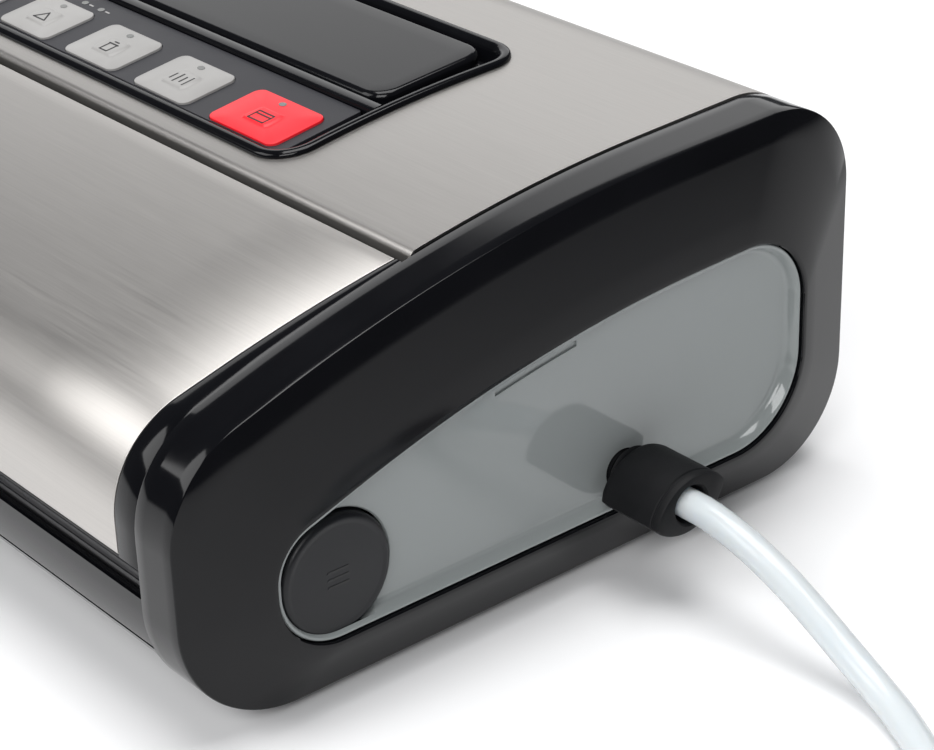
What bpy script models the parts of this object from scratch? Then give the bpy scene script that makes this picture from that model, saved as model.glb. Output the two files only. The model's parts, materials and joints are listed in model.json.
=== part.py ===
"""A countertop vacuum sealer, made of separate parts that come apart as the real ones do.

Units are metres and +Z is up. The object stands on its four feet at Z = 0, its front faces -Y,
and its long side runs along X. A side section is drawn in (Y, Z), from the front to the back.
"""
import math

import bmesh
import bpy
from mathutils import Matrix, Vector

# ---------------------------------------------------------------- driving sizes
EDGE_X = 0.200              # crisp edge of an end cap, from the middle
CAP_RISE = 0.007            # how far the sloping face of a cap rises outwards
CAP_BAND = 0.0155           # width of the band round a cap
DEPTH = 0.227
BODY_HEIGHT = 0.1114        # of the tallest corner of the side section
NOSE_HEIGHT = 0.0744        # where the front face would meet the top slope
SHOULDER_Y = 0.0965         # where the top turns from the steep slope to the shallow one
SHOULDER_Z = 0.1062
FOOT_HEIGHT = 0.003
GAP = 0.0003                # between pieces that touch
WALL = 0.0025               # moulded plastic
SHEET = 0.0008              # steel sheet

FRONT = -DEPTH / 2
REAR = DEPTH / 2
BOTTOM = FOOT_HEIGHT
CAP_INNER_X = EDGE_X - CAP_BAND
SPAN_X = CAP_INNER_X - GAP  # half length of what fits between the caps
ARC_STEPS = 8

# Corner radii of the side section: front bottom, nose, shoulder, rear top, rear bottom
SECTION_RADII = (0.033, 0.030, 0.480, 0.027, 0.030)
# The rim round a side panel: how far in from each edge (front, slope, top, rear, bottom)
RIM_INSETS = (0.0236, 0.031, 0.030, 0.0218, 0.0155)
RIM_RADII = (0.020, 0.016, 0.420, 0.022, 0.026)
RIM_LAND = 0.0012
PANEL_RECESS = 0.0045
PANEL_DRAFT = 0.0015
CAP_FLANGE = 0.0030
PANEL_X = EDGE_X + CAP_RISE - PANEL_RECESS

# Surfaces, as depths below the section's outline
STEEL_OUT = 0.0
CASING_OUT = STEEL_OUT + SHEET + GAP
BASE_OUT = 0.0010
LID_OUT = 0.0010
LINER_OUT = LID_OUT + SHEET + GAP

# Base and deck
BASE_TOP = BOTTOM + 0.035
DECK_TOP = BOTTOM + 0.040
DECK_THICK = 0.003
DECK_FRONT = FRONT + 0.005
CHANNEL_HALF = 0.150
CHANNEL_FRONT = FRONT + 0.022
CHANNEL_REAR = FRONT + 0.046
CHANNEL_DEPTH = 0.016
SEAL_Y = FRONT + 0.059
SEAL_WIDTH = 0.009
SEAL_HALF = 0.155
HOUSING_FRONT = FRONT + 0.087
FLANGE_HEIGHT = 0.005
HEATER_DEPTH = 0.002
SUCTION_RADIUS = 0.0030
GASKET_WIDTH = 0.0050
GASKET_HEIGHT = 0.0012
TUBE_RADIUS = 0.0035

# Underside: cover plate with its vents and screws, and the four feet
PLATE_HALF = 0.150
PLATE_FRONT = FRONT + 0.070
PLATE_REAR = REAR - 0.040
VENT_COUNT = 9
VENT_PITCH = 0.010
VENT_WIDTH = 0.0035
VENT_LENGTH = 0.040
VENT_Y = FRONT + 0.135
SCREW_RADIUS = 0.0018
SCREW_INSET = 0.008
FOOT_RADIUS = 0.009
FOOT_X = 0.166
FOOT_FRONT = FRONT + 0.045
FOOT_REAR = REAR - 0.045

# Rear of the housing: how low the steel reaches, and the cord gland
COVER_REAR_Z = 0.080
GLAND_X = -0.120
GLAND_Z = BOTTOM + 0.050
GLAND_RADIUS = 0.007

# Lid
LID_BOTTOM = BOTTOM + 0.0433
LID_REAR = FRONT + 0.084
LID_END_FRONT = EDGE_X - 0.026
LID_END_REAR = EDGE_X - 0.0195
TRIM_END = CAP_INNER_X - 0.0006
TRIM_DEPTH = 0.007
HINGE_Y = FRONT + 0.077
HINGE_Z = BOTTOM + 0.0905
PIN_RADIUS = 0.0015
PIN_CLEARANCE = 0.0003
HOOK_X = 0.167
HOOK_WIDTH = 0.008
HOOK_Y = FRONT + 0.016
HOOK_DEPTH = 0.007
LID_HEM = 0.003
NOSE_BLOCK = 0.012
PAD_HEIGHT = 0.0020
PIN_REACH = 0.0080

# Control panel
PANEL_FRONT = FRONT + 0.0935
PANEL_REAR = FRONT + 0.1810
PANEL_HALF = 0.120
PANEL_RADIUS = 0.012
LIP_WIDTH = 0.0032
LIP_HEIGHT = 0.0016
TRAY_DEPTH = 0.0042
KEY_LENGTH = 0.0195
KEY_WIDTH = 0.0270
KEY_PITCH = 0.0372
KEY_COUNT = 4
FIRST_KEY_X = 0.0510
SEAL_KEY_X = 0.0910
SEAL_KEY_WIDTH = 0.0310
KEY_Y = FRONT + 0.1098
KEY_HEIGHT = 0.0012
KEY_STEM = 0.0018
MEMBRANE_REAR = FRONT + 0.1275
MEMBRANE_HEIGHT = 0.0022
PAD_FRONT = FRONT + 0.1340
PAD_HALF = 0.1110
PAD_TOP = 0.0022
KEY_STRETCH = (PANEL_FRONT, MEMBRANE_REAR)
WHOLE_STRETCH = (PANEL_FRONT, PANEL_REAR)

# Release buttons
BUTTON_Y = FRONT + 0.0439
BUTTON_Z = BOTTOM + 0.0334
BUTTON_RADIUS = 0.0168
BUTTON_PROUD = 0.0025
BUTTON_STEM = 0.0025
STEM_RADIUS = 0.0032

# Hose port, plug and hose
PORT_Y = FRONT + 0.1405
PORT_Z = BOTTOM + 0.0257
PORT_RADIUS = 0.0057
PLUG_HALF_WIDTH = 0.0128    # its barrel is lens-shaped, pointed front and rear
PLUG_HALF_HEIGHT = 0.0078
PLUG_TILT = 16.0            # degrees, rear side up
PLUG_LENGTH = 0.0225        # of its barrel
NECK_RADIUS = 0.0055
HOSE_RADIUS = 0.0042
BORE_RADIUS = 0.0054
COIL_CENTRE = (0.371, 0.053)
COIL_INNER = 0.0360
COIL_OUTER = 0.0530
COIL_HEIGHT = 0.0158
TIP_RADIUS = 0.0065
TIP_LENGTH = 0.028
SOCKET_DEPTH = 0.006
PLUG_X = PANEL_X + 0.0006 + GAP
BARREL_X = EDGE_X + CAP_RISE - 0.0007
PLUG_END_X = BARREL_X + PLUG_LENGTH
HOSE_START_X = PLUG_END_X - 0.012
FLOOR_Z = HOSE_RADIUS + 0.0004

# Pump
PUMP_X = 0.080
PUMP_Y = FRONT + 0.150
PUMP_BASE = BOTTOM + BASE_OUT + WALL + GAP

COLOURS = {
    "gloss_black": ((0.010, 0.010, 0.012), 0.12, 0.0),
    "satin_black": ((0.018, 0.018, 0.020), 0.38, 0.0),
    "steel": ((0.560, 0.545, 0.525), 0.28, 1.0),
    "panel_grey": ((0.270, 0.290, 0.290), 0.22, 0.0),
    "key_silver": ((0.500, 0.490, 0.480), 0.35, 0.0),
    "key_red": ((0.800, 0.060, 0.070), 0.35, 0.0),
    "charcoal": ((0.045, 0.044, 0.054), 0.40, 0.0),
    "rubber": ((0.020, 0.020, 0.022), 0.60, 0.0),
    "silicone": ((0.720, 0.760, 0.800), 0.25, 0.0),
    "foam": ((0.080, 0.080, 0.085), 0.85, 0.0),
    "board_green": ((0.030, 0.160, 0.070), 0.45, 0.0),
    "motor_metal": ((0.420, 0.420, 0.430), 0.32, 1.0),
    "copper": ((0.550, 0.260, 0.130), 0.35, 1.0),
    "tape": ((0.420, 0.330, 0.220), 0.50, 0.0),
}


# ---------------------------------------------------------------- scene and helpers
def clear_scene():
    for old in list(bpy.data.objects):
        bpy.data.objects.remove(old, do_unlink=True)


def new_collection(name):
    collection = bpy.data.collections.new(name)
    bpy.context.scene.collection.children.link(collection)
    return collection


def material(name):
    found = bpy.data.materials.get(name)
    if found:
        return found
    colour, roughness, metallic = COLOURS[name]
    made = bpy.data.materials.new(name)
    made.use_nodes = True
    shader = made.node_tree.nodes["Principled BSDF"]
    shader.inputs["Base Color"].default_value = (*colour, 1.0)
    shader.inputs["Roughness"].default_value = roughness
    shader.inputs["Metallic"].default_value = metallic
    return made


def add_object(name, bm, finish, origin=(0.0, 0.0, 0.0)):
    """Turns a bmesh into an object whose origin is at the given point."""
    bmesh.ops.translate(bm, verts=bm.verts, vec=-Vector(origin))
    bmesh.ops.recalc_face_normals(bm, faces=bm.faces)
    mesh = bpy.data.meshes.new(name)
    bm.to_mesh(mesh)
    bm.free()
    thing = bpy.data.objects.new(name, mesh)
    thing.location = origin
    if finish is None:
        CUTTERS.objects.link(thing)
        thing.hide_render = True
        thing.display_type = "WIRE"
        return thing
    PARTS.objects.link(thing)
    mesh.materials.append(material(finish))
    mesh.shade_smooth()
    mesh.set_sharp_from_angle(angle=math.radians(35))
    return thing


def bevel(thing, width, segments=2):
    change = thing.modifiers.new("Bevel", "BEVEL")
    change.width = width
    change.segments = segments
    change.limit_method = "ANGLE"
    change.angle_limit = math.radians(40)
    return thing


def boolean(thing, other, operation="DIFFERENCE"):
    change = thing.modifiers.new("Boolean", "BOOLEAN")
    change.operation = operation
    change.object = other
    return thing


def cube_mesh(low, high):
    bm = bmesh.new()
    bmesh.ops.create_cube(bm, size=1.0)
    low, high = Vector(low), Vector(high)
    bmesh.ops.scale(bm, verts=bm.verts, vec=high - low)
    bmesh.ops.translate(bm, verts=bm.verts, vec=(low + high) / 2)
    return bm


def box(name, low, high, finish=None, origin=(0.0, 0.0, 0.0)):
    return add_object(name, cube_mesh(low, high), finish, origin)


def cylinder_mesh(start, end, radius, segments=32, end_radius=None):
    start, end = Vector(start), Vector(end)
    run = end - start
    bm = bmesh.new()
    second = radius if end_radius is None else end_radius
    bmesh.ops.create_cone(bm, cap_ends=True, segments=segments, radius1=radius, radius2=second,
                          depth=run.length)
    turn = Vector((0, 0, 1)).rotation_difference(run.normalized()).to_matrix().to_4x4()
    bmesh.ops.transform(bm, matrix=Matrix.Translation((start + end) / 2) @ turn, verts=bm.verts)
    return bm


def cylinder(name, start, end, radius, finish=None, segments=32, origin=(0.0, 0.0, 0.0)):
    return add_object(name, cylinder_mesh(start, end, radius, segments), finish, origin)


def loft_mesh(rings, closed=False):
    """Joins rings of equal length. Open lofts get a face over each end."""
    bm = bmesh.new()
    rows = [[bm.verts.new(point) for point in ring] for ring in rings]
    pairs = list(zip(rows, rows[1:]))
    if closed:
        pairs.append((rows[-1], rows[0]))
    for row, following in pairs:
        count = len(row)
        for i in range(count):
            j = (i + 1) % count
            bm.faces.new((row[i], row[j], following[j], following[i]))
    if not closed:
        bm.faces.new(rows[0])
        bm.faces.new(list(reversed(rows[-1])))
    return bm


def turned(name, profile, start, axis, finish, segments=40, origin=(0.0, 0.0, 0.0)):
    """A turned solid: profile holds (distance along the axis, radius) from one end to the other."""
    axis = Vector(axis).normalized()
    side = axis.orthogonal().normalized()
    other = axis.cross(side)
    rings = []
    for along, radius in profile:
        centre = Vector(start) + axis * along
        angles = [2 * math.pi * i / segments for i in range(segments)]
        rings.append([centre + radius * (math.cos(a) * side + math.sin(a) * other) for a in angles])
    return add_object(name, loft_mesh(rings), finish, origin)


def prism(name, outline, x0, x1, finish=None, origin=(0.0, 0.0, 0.0)):
    """A (Y, Z) outline pushed along X."""
    rings = [[(x, y, z) for y, z in outline] for x in (x0, x1)]
    return add_object(name, loft_mesh(rings), finish, origin)


def rounded(corners, radii, steps=ARC_STEPS):
    """A closed outline with an arc of its own radius at each corner."""
    points = []
    count = len(corners)
    for i, (corner, radius) in enumerate(zip(corners, radii)):
        here = Vector(corner)
        before = (Vector(corners[i - 1]) - here).normalized()
        after = (Vector(corners[(i + 1) % count]) - here).normalized()
        half = math.acos(max(-1.0, min(1.0, before.dot(after)))) / 2
        centre = here + (before + after).normalized() * radius / math.sin(half)
        first = here + before * radius / math.tan(half) - centre
        last = here + after * radius / math.tan(half) - centre
        turn = math.atan2(first.x * last.y - first.y * last.x, first.dot(last))
        for step in range(steps + 1):
            angle = turn * step / steps
            swing = Matrix.Rotation(angle, 2)
            point = centre + swing @ first
            points.append((point.x, point.y))
    return points


def section_corners(insets=(0.0, 0.0, 0.0, 0.0, 0.0)):
    """Corners of the side section, each edge moved in by its own amount."""
    corners = [Vector((FRONT, BOTTOM)), Vector((FRONT, BOTTOM + NOSE_HEIGHT)),
               Vector((FRONT + SHOULDER_Y, BOTTOM + SHOULDER_Z)),
               Vector((REAR, BOTTOM + BODY_HEIGHT)), Vector((REAR, BOTTOM))]
    lines = []
    for i, inset in enumerate(insets):
        start, end = corners[i], corners[(i + 1) % len(corners)]
        run = (end - start).normalized()
        inward = Vector((run.y, -run.x))
        lines.append((start + inward * inset, run))
    moved = []
    for i in range(len(lines)):
        start, run = lines[i - 1]
        other, other_run = lines[i]
        across = run.x * other_run.y - run.y * other_run.x
        reach = ((other - start).x * other_run.y - (other - start).y * other_run.x) / across
        moved.append(tuple(start + run * reach))
    return moved


def section(inset=0.0, steps=ARC_STEPS):
    radii = [radius - inset for radius in SECTION_RADII]
    return rounded(section_corners((inset,) * len(radii)), radii, steps)


def kept_run(outline, inside):
    """The one run of a closed outline where inside(y, z) is above zero, cut exactly at its ends."""
    count = len(outline)
    values = [inside(*point) for point in outline]
    start = next(i for i in range(count) if values[i - 1] <= 0 < values[i])
    run = []

    def crossing(i, j):
        share = values[i] / (values[i] - values[j])
        return tuple(Vector(outline[i]).lerp(Vector(outline[j]), share))

    run.append(crossing(start - 1, start))
    i = start
    while values[i % count] > 0:
        run.append(outline[i % count])
        i += 1
    run.append(crossing((i - 1) % count, i % count))
    return run


def top_at(y, inset=0.0):
    """Height of the upper side of the section at a place along its depth."""
    points = section(inset, steps=16)
    best = None
    for (y0, z0), (y1, z1) in zip(points, points[1:] + points[:1]):
        if min(y0, y1) <= y <= max(y0, y1) and y0 != y1:
            height = z0 + (z1 - z0) * (y - y0) / (y1 - y0)
            best = height if best is None else max(best, height)
    return best


def sheet(name, path, half_lengths, thickness, finish, origin=(0.0, 0.0, 0.0)):
    """A bent sheet: a (Y, Z) path as long as half_lengths says each way, thickened to its right."""
    bm = bmesh.new()
    rows = []
    for (y, z), half in zip(path, half_lengths):
        rows.append([bm.verts.new((-half, y, z)), bm.verts.new((half, y, z))])
    for row, following in zip(rows, rows[1:]):
        bm.faces.new((row[0], following[0], following[1], row[1]))
    bmesh.ops.translate(bm, verts=bm.verts, vec=-Vector(origin))
    mesh = bpy.data.meshes.new(name)
    bm.to_mesh(mesh)
    bm.free()
    mesh.materials.append(material(finish))
    mesh.shade_smooth()
    mesh.set_sharp_from_angle(angle=math.radians(35))
    thing = bpy.data.objects.new(name, mesh)
    thing.location = origin
    PARTS.objects.link(thing)
    change = thing.modifiers.new("Solidify", "SOLIDIFY")
    change.thickness = thickness
    change.offset = 1.0
    change.use_even_offset = True
    return thing


# ---------------------------------------------------------------- casings
def make_base():
    """The moulded tub: front fascia, floor and the foot of the rear wall."""
    ring = prism("base_shell", section(BASE_OUT), -SPAN_X, SPAN_X, "gloss_black")
    boolean(ring, prism("base_hollow", section(BASE_OUT + WALL), -1, 1))
    boolean(ring, box("base_open_top", (-1, -1, BASE_TOP), (1, 1, 1)))
    plate_low = (-PLATE_HALF, PLATE_FRONT, BOTTOM + BASE_OUT)
    plate_high = (PLATE_HALF, PLATE_REAR, BOTTOM + BASE_OUT + WALL)
    low = Vector(plate_low) - Vector((GAP, GAP, WALL))
    high = Vector(plate_high) + Vector((GAP, GAP, WALL))
    boolean(ring, box("plate_opening", low, high))
    plate = box("bottom_plate", plate_low, plate_high, "satin_black")
    for i in range(VENT_COUNT):
        x = (i - (VENT_COUNT - 1) / 2) * VENT_PITCH
        slot_low = (x - VENT_WIDTH / 2, VENT_Y - VENT_LENGTH / 2, 0.0)
        slot_high = (x + VENT_WIDTH / 2, VENT_Y + VENT_LENGTH / 2, 2 * WALL + BOTTOM)
        boolean(plate, box(f"vent_{i}", slot_low, slot_high))
    for x, y in screw_places():
        boolean(plate, cylinder("screw_hole", (x, y, 0), (x, y, 2 * WALL + BOTTOM),
                                SCREW_RADIUS + GAP, segments=16))


def screw_places():
    for x in (-PLATE_HALF + SCREW_INSET, PLATE_HALF - SCREW_INSET):
        for y in (PLATE_FRONT + SCREW_INSET, PLATE_REAR - SCREW_INSET):
            yield x, y


def make_screws():
    head_top = BOTTOM + BASE_OUT - GAP
    for i, (x, y) in enumerate(screw_places(), start=1):
        profile = ((0.0, 0.0028), (0.0006, 0.0032), (0.0007, SCREW_RADIUS), (0.010, SCREW_RADIUS),
                   (0.0115, SCREW_RADIUS / 3))
        turned(f"base_screw_{i}", profile, (x, y, head_top - 0.0007), (0, 0, 1), "motor_metal", 12)


def make_feet():
    profile = ((0.0, FOOT_RADIUS - 0.001), (0.001, FOOT_RADIUS),
               (FOOT_HEIGHT + BASE_OUT - GAP, FOOT_RADIUS))
    for side, x in (("right", FOOT_X), ("left", -FOOT_X)):
        for end, y in (("front", FOOT_FRONT), ("rear", FOOT_REAR)):
            turned(f"foot_{end}_{side}", profile, (x, y, 0.0), (0, 0, 1), "rubber", 24)


def make_deck():
    """The moulded deck that a bag lies on, and the tub of the vacuum channel below it."""
    strip_rear = DECK_FRONT + WALL
    box("front_strip", (-SPAN_X, DECK_FRONT, BASE_TOP - 0.006), (SPAN_X, strip_rear, DECK_TOP), "satin_black")
    deck = box("sealing_deck", (-SPAN_X, strip_rear + GAP, DECK_TOP - DECK_THICK),
               (SPAN_X, HOUSING_FRONT + SHEET, DECK_TOP), "satin_black")
    tub_top = DECK_TOP - DECK_THICK - GAP
    floor = DECK_TOP - CHANNEL_DEPTH
    tub = box("channel_tub", (-CHANNEL_HALF - WALL, CHANNEL_FRONT - WALL, floor - WALL),
              (CHANNEL_HALF + WALL, CHANNEL_REAR + WALL, tub_top), "satin_black")
    cut_low = (-CHANNEL_HALF, CHANNEL_FRONT, floor)
    cut_high = (CHANNEL_HALF, CHANNEL_REAR, DECK_TOP + WALL)
    for piece in (deck, tub):
        boolean(piece, box("channel_cut", cut_low, cut_high))
    groove = SEAL_WIDTH / 2 + GAP
    groove_low = (-SEAL_HALF - GAP, SEAL_Y - groove, DECK_TOP - HEATER_DEPTH)
    groove_high = (SEAL_HALF + GAP, SEAL_Y + groove, DECK_TOP + WALL)
    boolean(deck, box("heater_cut", groove_low, groove_high))
    for side in (1, -1):
        inner, outer = sorted((side * (HOOK_X - HOOK_WIDTH / 2 - 0.0015), side * 1.0))
        corner_low = (inner, -1, DECK_TOP - DECK_THICK - WALL)
        corner_high = (outer, HOOK_Y + 0.0035, DECK_TOP + WALL)
        boolean(deck, box("hook_corner", corner_low, corner_high))
    hole_x = -CHANNEL_HALF / 2
    hole_y = (CHANNEL_FRONT + CHANNEL_REAR) / 2
    boolean(tub, cylinder("suction_hole", (hole_x, hole_y, 0), (hole_x, hole_y, DECK_TOP),
                          SUCTION_RADIUS, segments=20))


def make_channel_pieces():
    """What lies in the deck: drip tray, gasket, heater and its tape."""
    wall = 0.0012
    low = Vector((-CHANNEL_HALF + 0.001, CHANNEL_FRONT + 0.001, DECK_TOP - CHANNEL_DEPTH + GAP))
    high = Vector((CHANNEL_HALF - 0.001, CHANNEL_REAR - 0.001, DECK_TOP - 0.0015))
    tray = box("drip_tray", low, high, "charcoal")
    inner_low = low + Vector((wall, wall, wall))
    inner_high = high + Vector((-wall, -wall, wall))
    boolean(tray, box("tray_cut", inner_low, inner_high))
    hole_x = -CHANNEL_HALF / 2
    hole_y = (CHANNEL_FRONT + CHANNEL_REAR) / 2
    boolean(tray, cylinder("tray_hole", (hole_x, hole_y, 0), (hole_x, hole_y, DECK_TOP),
                           SUCTION_RADIUS + 0.002, segments=20))
    gasket("lower_gasket", DECK_TOP + GAP, DECK_TOP + GAP + GASKET_HEIGHT)
    half = SEAL_WIDTH / 2
    box("heater_bar", (-SEAL_HALF, SEAL_Y - half, DECK_TOP - HEATER_DEPTH + GAP),
        (SEAL_HALF, SEAL_Y + half, DECK_TOP - GAP), "motor_metal")
    box("heater_tape", (-SEAL_HALF, SEAL_Y - half + 0.001, DECK_TOP),
        (SEAL_HALF, SEAL_Y + half - 0.001, DECK_TOP + 0.0003), "tape")


def gasket(name, z0, z1, origin=(0.0, 0.0, 0.0)):
    """A rounded foam loop that runs round the vacuum channel."""
    loops = []
    for spread in (GAP * 2, GAP * 2 + GASKET_WIDTH / 2):
        x = CHANNEL_HALF + spread
        corners = ((-x, CHANNEL_FRONT - spread), (-x, CHANNEL_REAR + spread),
                   (x, CHANNEL_REAR + spread), (x, CHANNEL_FRONT - spread))
        loops.append(rounded(corners, (0.003 + spread,) * 4, 4))
    inner, outer = loops
    rings = [[(x, y, z0) for x, y in inner], [(x, y, z0) for x, y in outer],
             [(x, y, z1) for x, y in outer], [(x, y, z1) for x, y in inner]]
    return add_object(name, loft_mesh(rings, closed=True), "foam", origin)


def make_rear_casing():
    """The moulded shell over the pump: front wall, top and rear wall."""
    front = HOUSING_FRONT + SHEET + GAP
    inner = section(CASING_OUT + WALL)
    casing = prism("rear_casing", section(CASING_OUT), -SPAN_X, SPAN_X, "satin_black")
    hollow = kept_run(inner, lambda y, z: y - front - WALL)
    boolean(casing, prism("casing_hollow", hollow, -1, 1))
    boolean(casing, box("casing_front", (-1, -1, 0), (1, front, 1)))
    boolean(casing, box("casing_bottom", (-1, -1, 0), (1, 1, BASE_TOP + GAP)))
    boolean(casing, panel_opening("casing_opening"))
    gland_cut = cylinder("gland_cut", (GLAND_X, REAR - 0.02, GLAND_Z), (GLAND_X, REAR + 0.01, GLAND_Z),
                         GLAND_RADIUS + GAP, segments=24)
    boolean(casing, gland_cut)


def make_housing_cover():
    """The brushed steel sheet over the rear half, with its turned-down front edge."""
    outline = section(STEEL_OUT)
    lowest = BOTTOM + COVER_REAR_Z
    run = kept_run(outline, lambda y, z: min(y - HOUSING_FRONT, z - lowest))
    flange = (HOUSING_FRONT, run[0][1] - FLANGE_HEIGHT)
    path = [flange] + run
    cover = sheet("housing_cover", path, [SPAN_X - 0.0010] * len(path), SHEET, "steel")
    boolean(cover, panel_opening("cover_opening"))


def panel_opening(name):
    """The cutter for the control panel's opening."""
    spread = LIP_WIDTH
    outline = panel_outline(spread, 6)
    rings = [[(x, y, z) for x, y in outline] for z in (BOTTOM + 0.05, BOTTOM + 0.15)]
    return add_object(name, loft_mesh(rings), None)


def panel_outline(inset, steps):
    corners = ((-PANEL_HALF + inset, PANEL_FRONT + inset), (-PANEL_HALF + inset, PANEL_REAR - inset),
               (PANEL_HALF - inset, PANEL_REAR - inset), (PANEL_HALF - inset, PANEL_FRONT + inset))
    return rounded(corners, (PANEL_RADIUS - inset,) * 4, steps)


# ---------------------------------------------------------------- end caps
def rim_outline(shrink=0.0, steps=ARC_STEPS):
    insets = [inset + shrink for inset in RIM_INSETS]
    radii = [radius - shrink for radius in RIM_RADII]
    return rounded(section_corners(insets), radii, steps)


def make_end_cap(side, sign):
    """A cup with a full inner wall, whose open mouth takes the grey side panel."""
    rim_x = EDGE_X + CAP_RISE
    mouth = RIM_LAND + PANEL_DRAFT
    stations = (
        (CAP_INNER_X, section(0.0)), (EDGE_X, section(0.0)),
        (rim_x, rim_outline(0.0)), (rim_x, rim_outline(RIM_LAND)),
        (rim_x - CAP_FLANGE, rim_outline(RIM_LAND)),
        (rim_x - CAP_FLANGE, rim_outline(-0.004)),
        (EDGE_X - WALL, section(WALL)), (CAP_INNER_X + WALL, section(WALL)),
    )
    rings = [[(sign * x, y, z) for y, z in outline] for x, outline in stations]
    cap = add_object(f"end_cap_{side}", loft_mesh(rings), "gloss_black")
    start, end = sign * (CAP_INNER_X - WALL), sign * (CAP_INNER_X + 2 * WALL)
    boolean(cap, cylinder("pin_hole", (start, HINGE_Y, HINGE_Z), (end, HINGE_Y, HINGE_Z),
                          PIN_RADIUS + PIN_CLEARANCE, segments=24))
    boolean(cap, cylinder("stem_hole", (start, BUTTON_Y, BUTTON_Z), (end, BUTTON_Y, BUTTON_Z),
                          STEM_RADIUS + 0.0008, segments=28))
    if sign > 0:
        boolean(cap, cylinder("tube_hole", (start, PORT_Y, PORT_Z), (end, PORT_Y, PORT_Z),
                              TUBE_RADIUS + 0.001, segments=24))
    panel_x = rim_x - PANEL_RECESS
    draft = rim_outline(RIM_LAND + GAP)
    lip_x = rim_x - 0.0010
    stations = (
        (panel_x - WALL, rim_outline(RIM_LAND + GAP)), (lip_x, draft),
        (lip_x, rim_outline(RIM_LAND + GAP + 0.0009)), (panel_x, rim_outline(mouth + 0.0009)),
    )
    rings = [[(sign * x, y, z) for y, z in outline] for x, outline in stations]
    panel = add_object(f"side_panel_{side}", loft_mesh(rings), "panel_grey")
    start, end = sign * (panel_x - 2 * WALL), sign * (panel_x + 2 * WALL)
    boolean(panel, cylinder("button_hole", (start, BUTTON_Y, BUTTON_Z), (end, BUTTON_Y, BUTTON_Z),
                            BUTTON_RADIUS + 0.0006, segments=48))
    if sign > 0:
        boolean(panel, cylinder("port_hole", (start, PORT_Y, PORT_Z), (end, PORT_Y, PORT_Z),
                                PORT_RADIUS + GAP, segments=32))


def make_hinge_pin(side, sign):
    head = 0.0010
    profile = ((0.0, PIN_RADIUS - 0.0003), (0.0004, PIN_RADIUS),
               (PIN_REACH, PIN_RADIUS), (PIN_REACH + GAP, 2 * PIN_RADIUS),
               (PIN_REACH + GAP + head, 2 * PIN_RADIUS))
    inner_end = CAP_INNER_X + WALL - PIN_REACH
    turned(f"hinge_pin_{side}", profile, (sign * inner_end, HINGE_Y, HINGE_Z), (sign, 0, 0),
           "motor_metal", 24)


# ---------------------------------------------------------------- lid
def lid_path(inset):
    return kept_run(section(inset), lambda y, z: min(LID_REAR - y, z - LID_BOTTOM))


def lid_half_lengths(path):
    """The steel is shorter at the nose than at the hinge, so its end trims are crescents."""
    halves = []
    for y, _ in path:
        share = (y - FRONT) / (LID_REAR - FRONT)
        halves.append(LID_END_FRONT + (LID_END_REAR - LID_END_FRONT) * share)
    return halves


def make_lid():
    hinge = (0.0, HINGE_Y, HINGE_Z)
    path = lid_path(LID_OUT)
    hem = (path[0][0] + LID_HEM, path[0][1] + GAP)
    path = [hem] + path
    halves = lid_half_lengths(path)
    sheet("lid_cover", path, halves, SHEET, "steel", hinge)
    outer = lid_path(LINER_OUT)
    lowest = LID_BOTTOM + SHEET + 2 * GAP
    outer[0] = (outer[0][0], lowest)
    nose = FRONT + LID_HEM + 0.004
    outline = [(nose, lowest), (nose, LID_BOTTOM), (LID_REAR, LID_BOTTOM)] + outer[::-1]
    liner_half = LID_END_FRONT - GAP
    liner = prism("lid_liner", outline, -liner_half, liner_half, "satin_black", hinge)
    boolean(liner, box("liner_hollow", (-1, FRONT + NOSE_BLOCK, LID_BOTTOM + WALL), (1, LID_REAR - WALL, 1)))
    half = SEAL_WIDTH / 2 - 0.001
    box("pressure_pad", (-SEAL_HALF, SEAL_Y - half, LID_BOTTOM - GAP - PAD_HEIGHT),
        (SEAL_HALF, SEAL_Y + half, LID_BOTTOM - GAP), "rubber", hinge)
    gasket("upper_gasket", LID_BOTTOM - GAP - GASKET_HEIGHT, LID_BOTTOM - GAP, hinge)
    for side, sign in (("right", 1), ("left", -1)):
        make_lid_trim(side, sign, hinge)
        make_latch_hook(side, sign, hinge)


def make_lid_trim(side, sign, hinge):
    """A crescent of black plastic between the end of the steel and the end cap."""
    outer = kept_run(section(LID_OUT), lambda y, z: min(LID_REAR - y, z - LID_BOTTOM))
    halves = lid_half_lengths(outer)
    rings = []
    for (y, z), half in zip(outer, halves):
        point = Vector((y, z))
        inward = inward_normal(outer, (y, z))
        deep = point + inward * TRIM_DEPTH
        near = half + GAP
        rings.append([(sign * near, point.x, point.y), (sign * TRIM_END, point.x, point.y),
                      (sign * TRIM_END, deep.x, deep.y), (sign * near, deep.x, deep.y)])
    trim = add_object(f"lid_trim_{side}", loft_mesh(rings), "gloss_black", hinge)
    start, end = sign * (LID_END_FRONT - 0.01), sign * (TRIM_END + 0.01)
    boolean(trim, cylinder("trim_hole", (start, HINGE_Y, HINGE_Z), (end, HINGE_Y, HINGE_Z),
                           PIN_RADIUS + PIN_CLEARANCE, segments=24))


def inward_normal(path, point):
    """The direction into the section at a point of a path that runs up and to the rear."""
    i = min(range(len(path)), key=lambda k: (Vector(path[k]) - Vector(point)).length)
    before = Vector(path[max(i - 1, 0)])
    after = Vector(path[min(i + 1, len(path) - 1)])
    run = (after - before).normalized()
    return Vector((run.y, -run.x))


def make_latch_hook(side, sign, hinge):
    """The tongue that hangs under the lid's front corner and drops through the deck."""
    half = HOOK_WIDTH / 2
    root = LID_BOTTOM - GAP
    box(f"latch_hook_{side}", (sign * HOOK_X - half, HOOK_Y - 0.002, DECK_TOP - HOOK_DEPTH),
        (sign * HOOK_X + half, HOOK_Y + 0.002, root), "satin_black", hinge)


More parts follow.
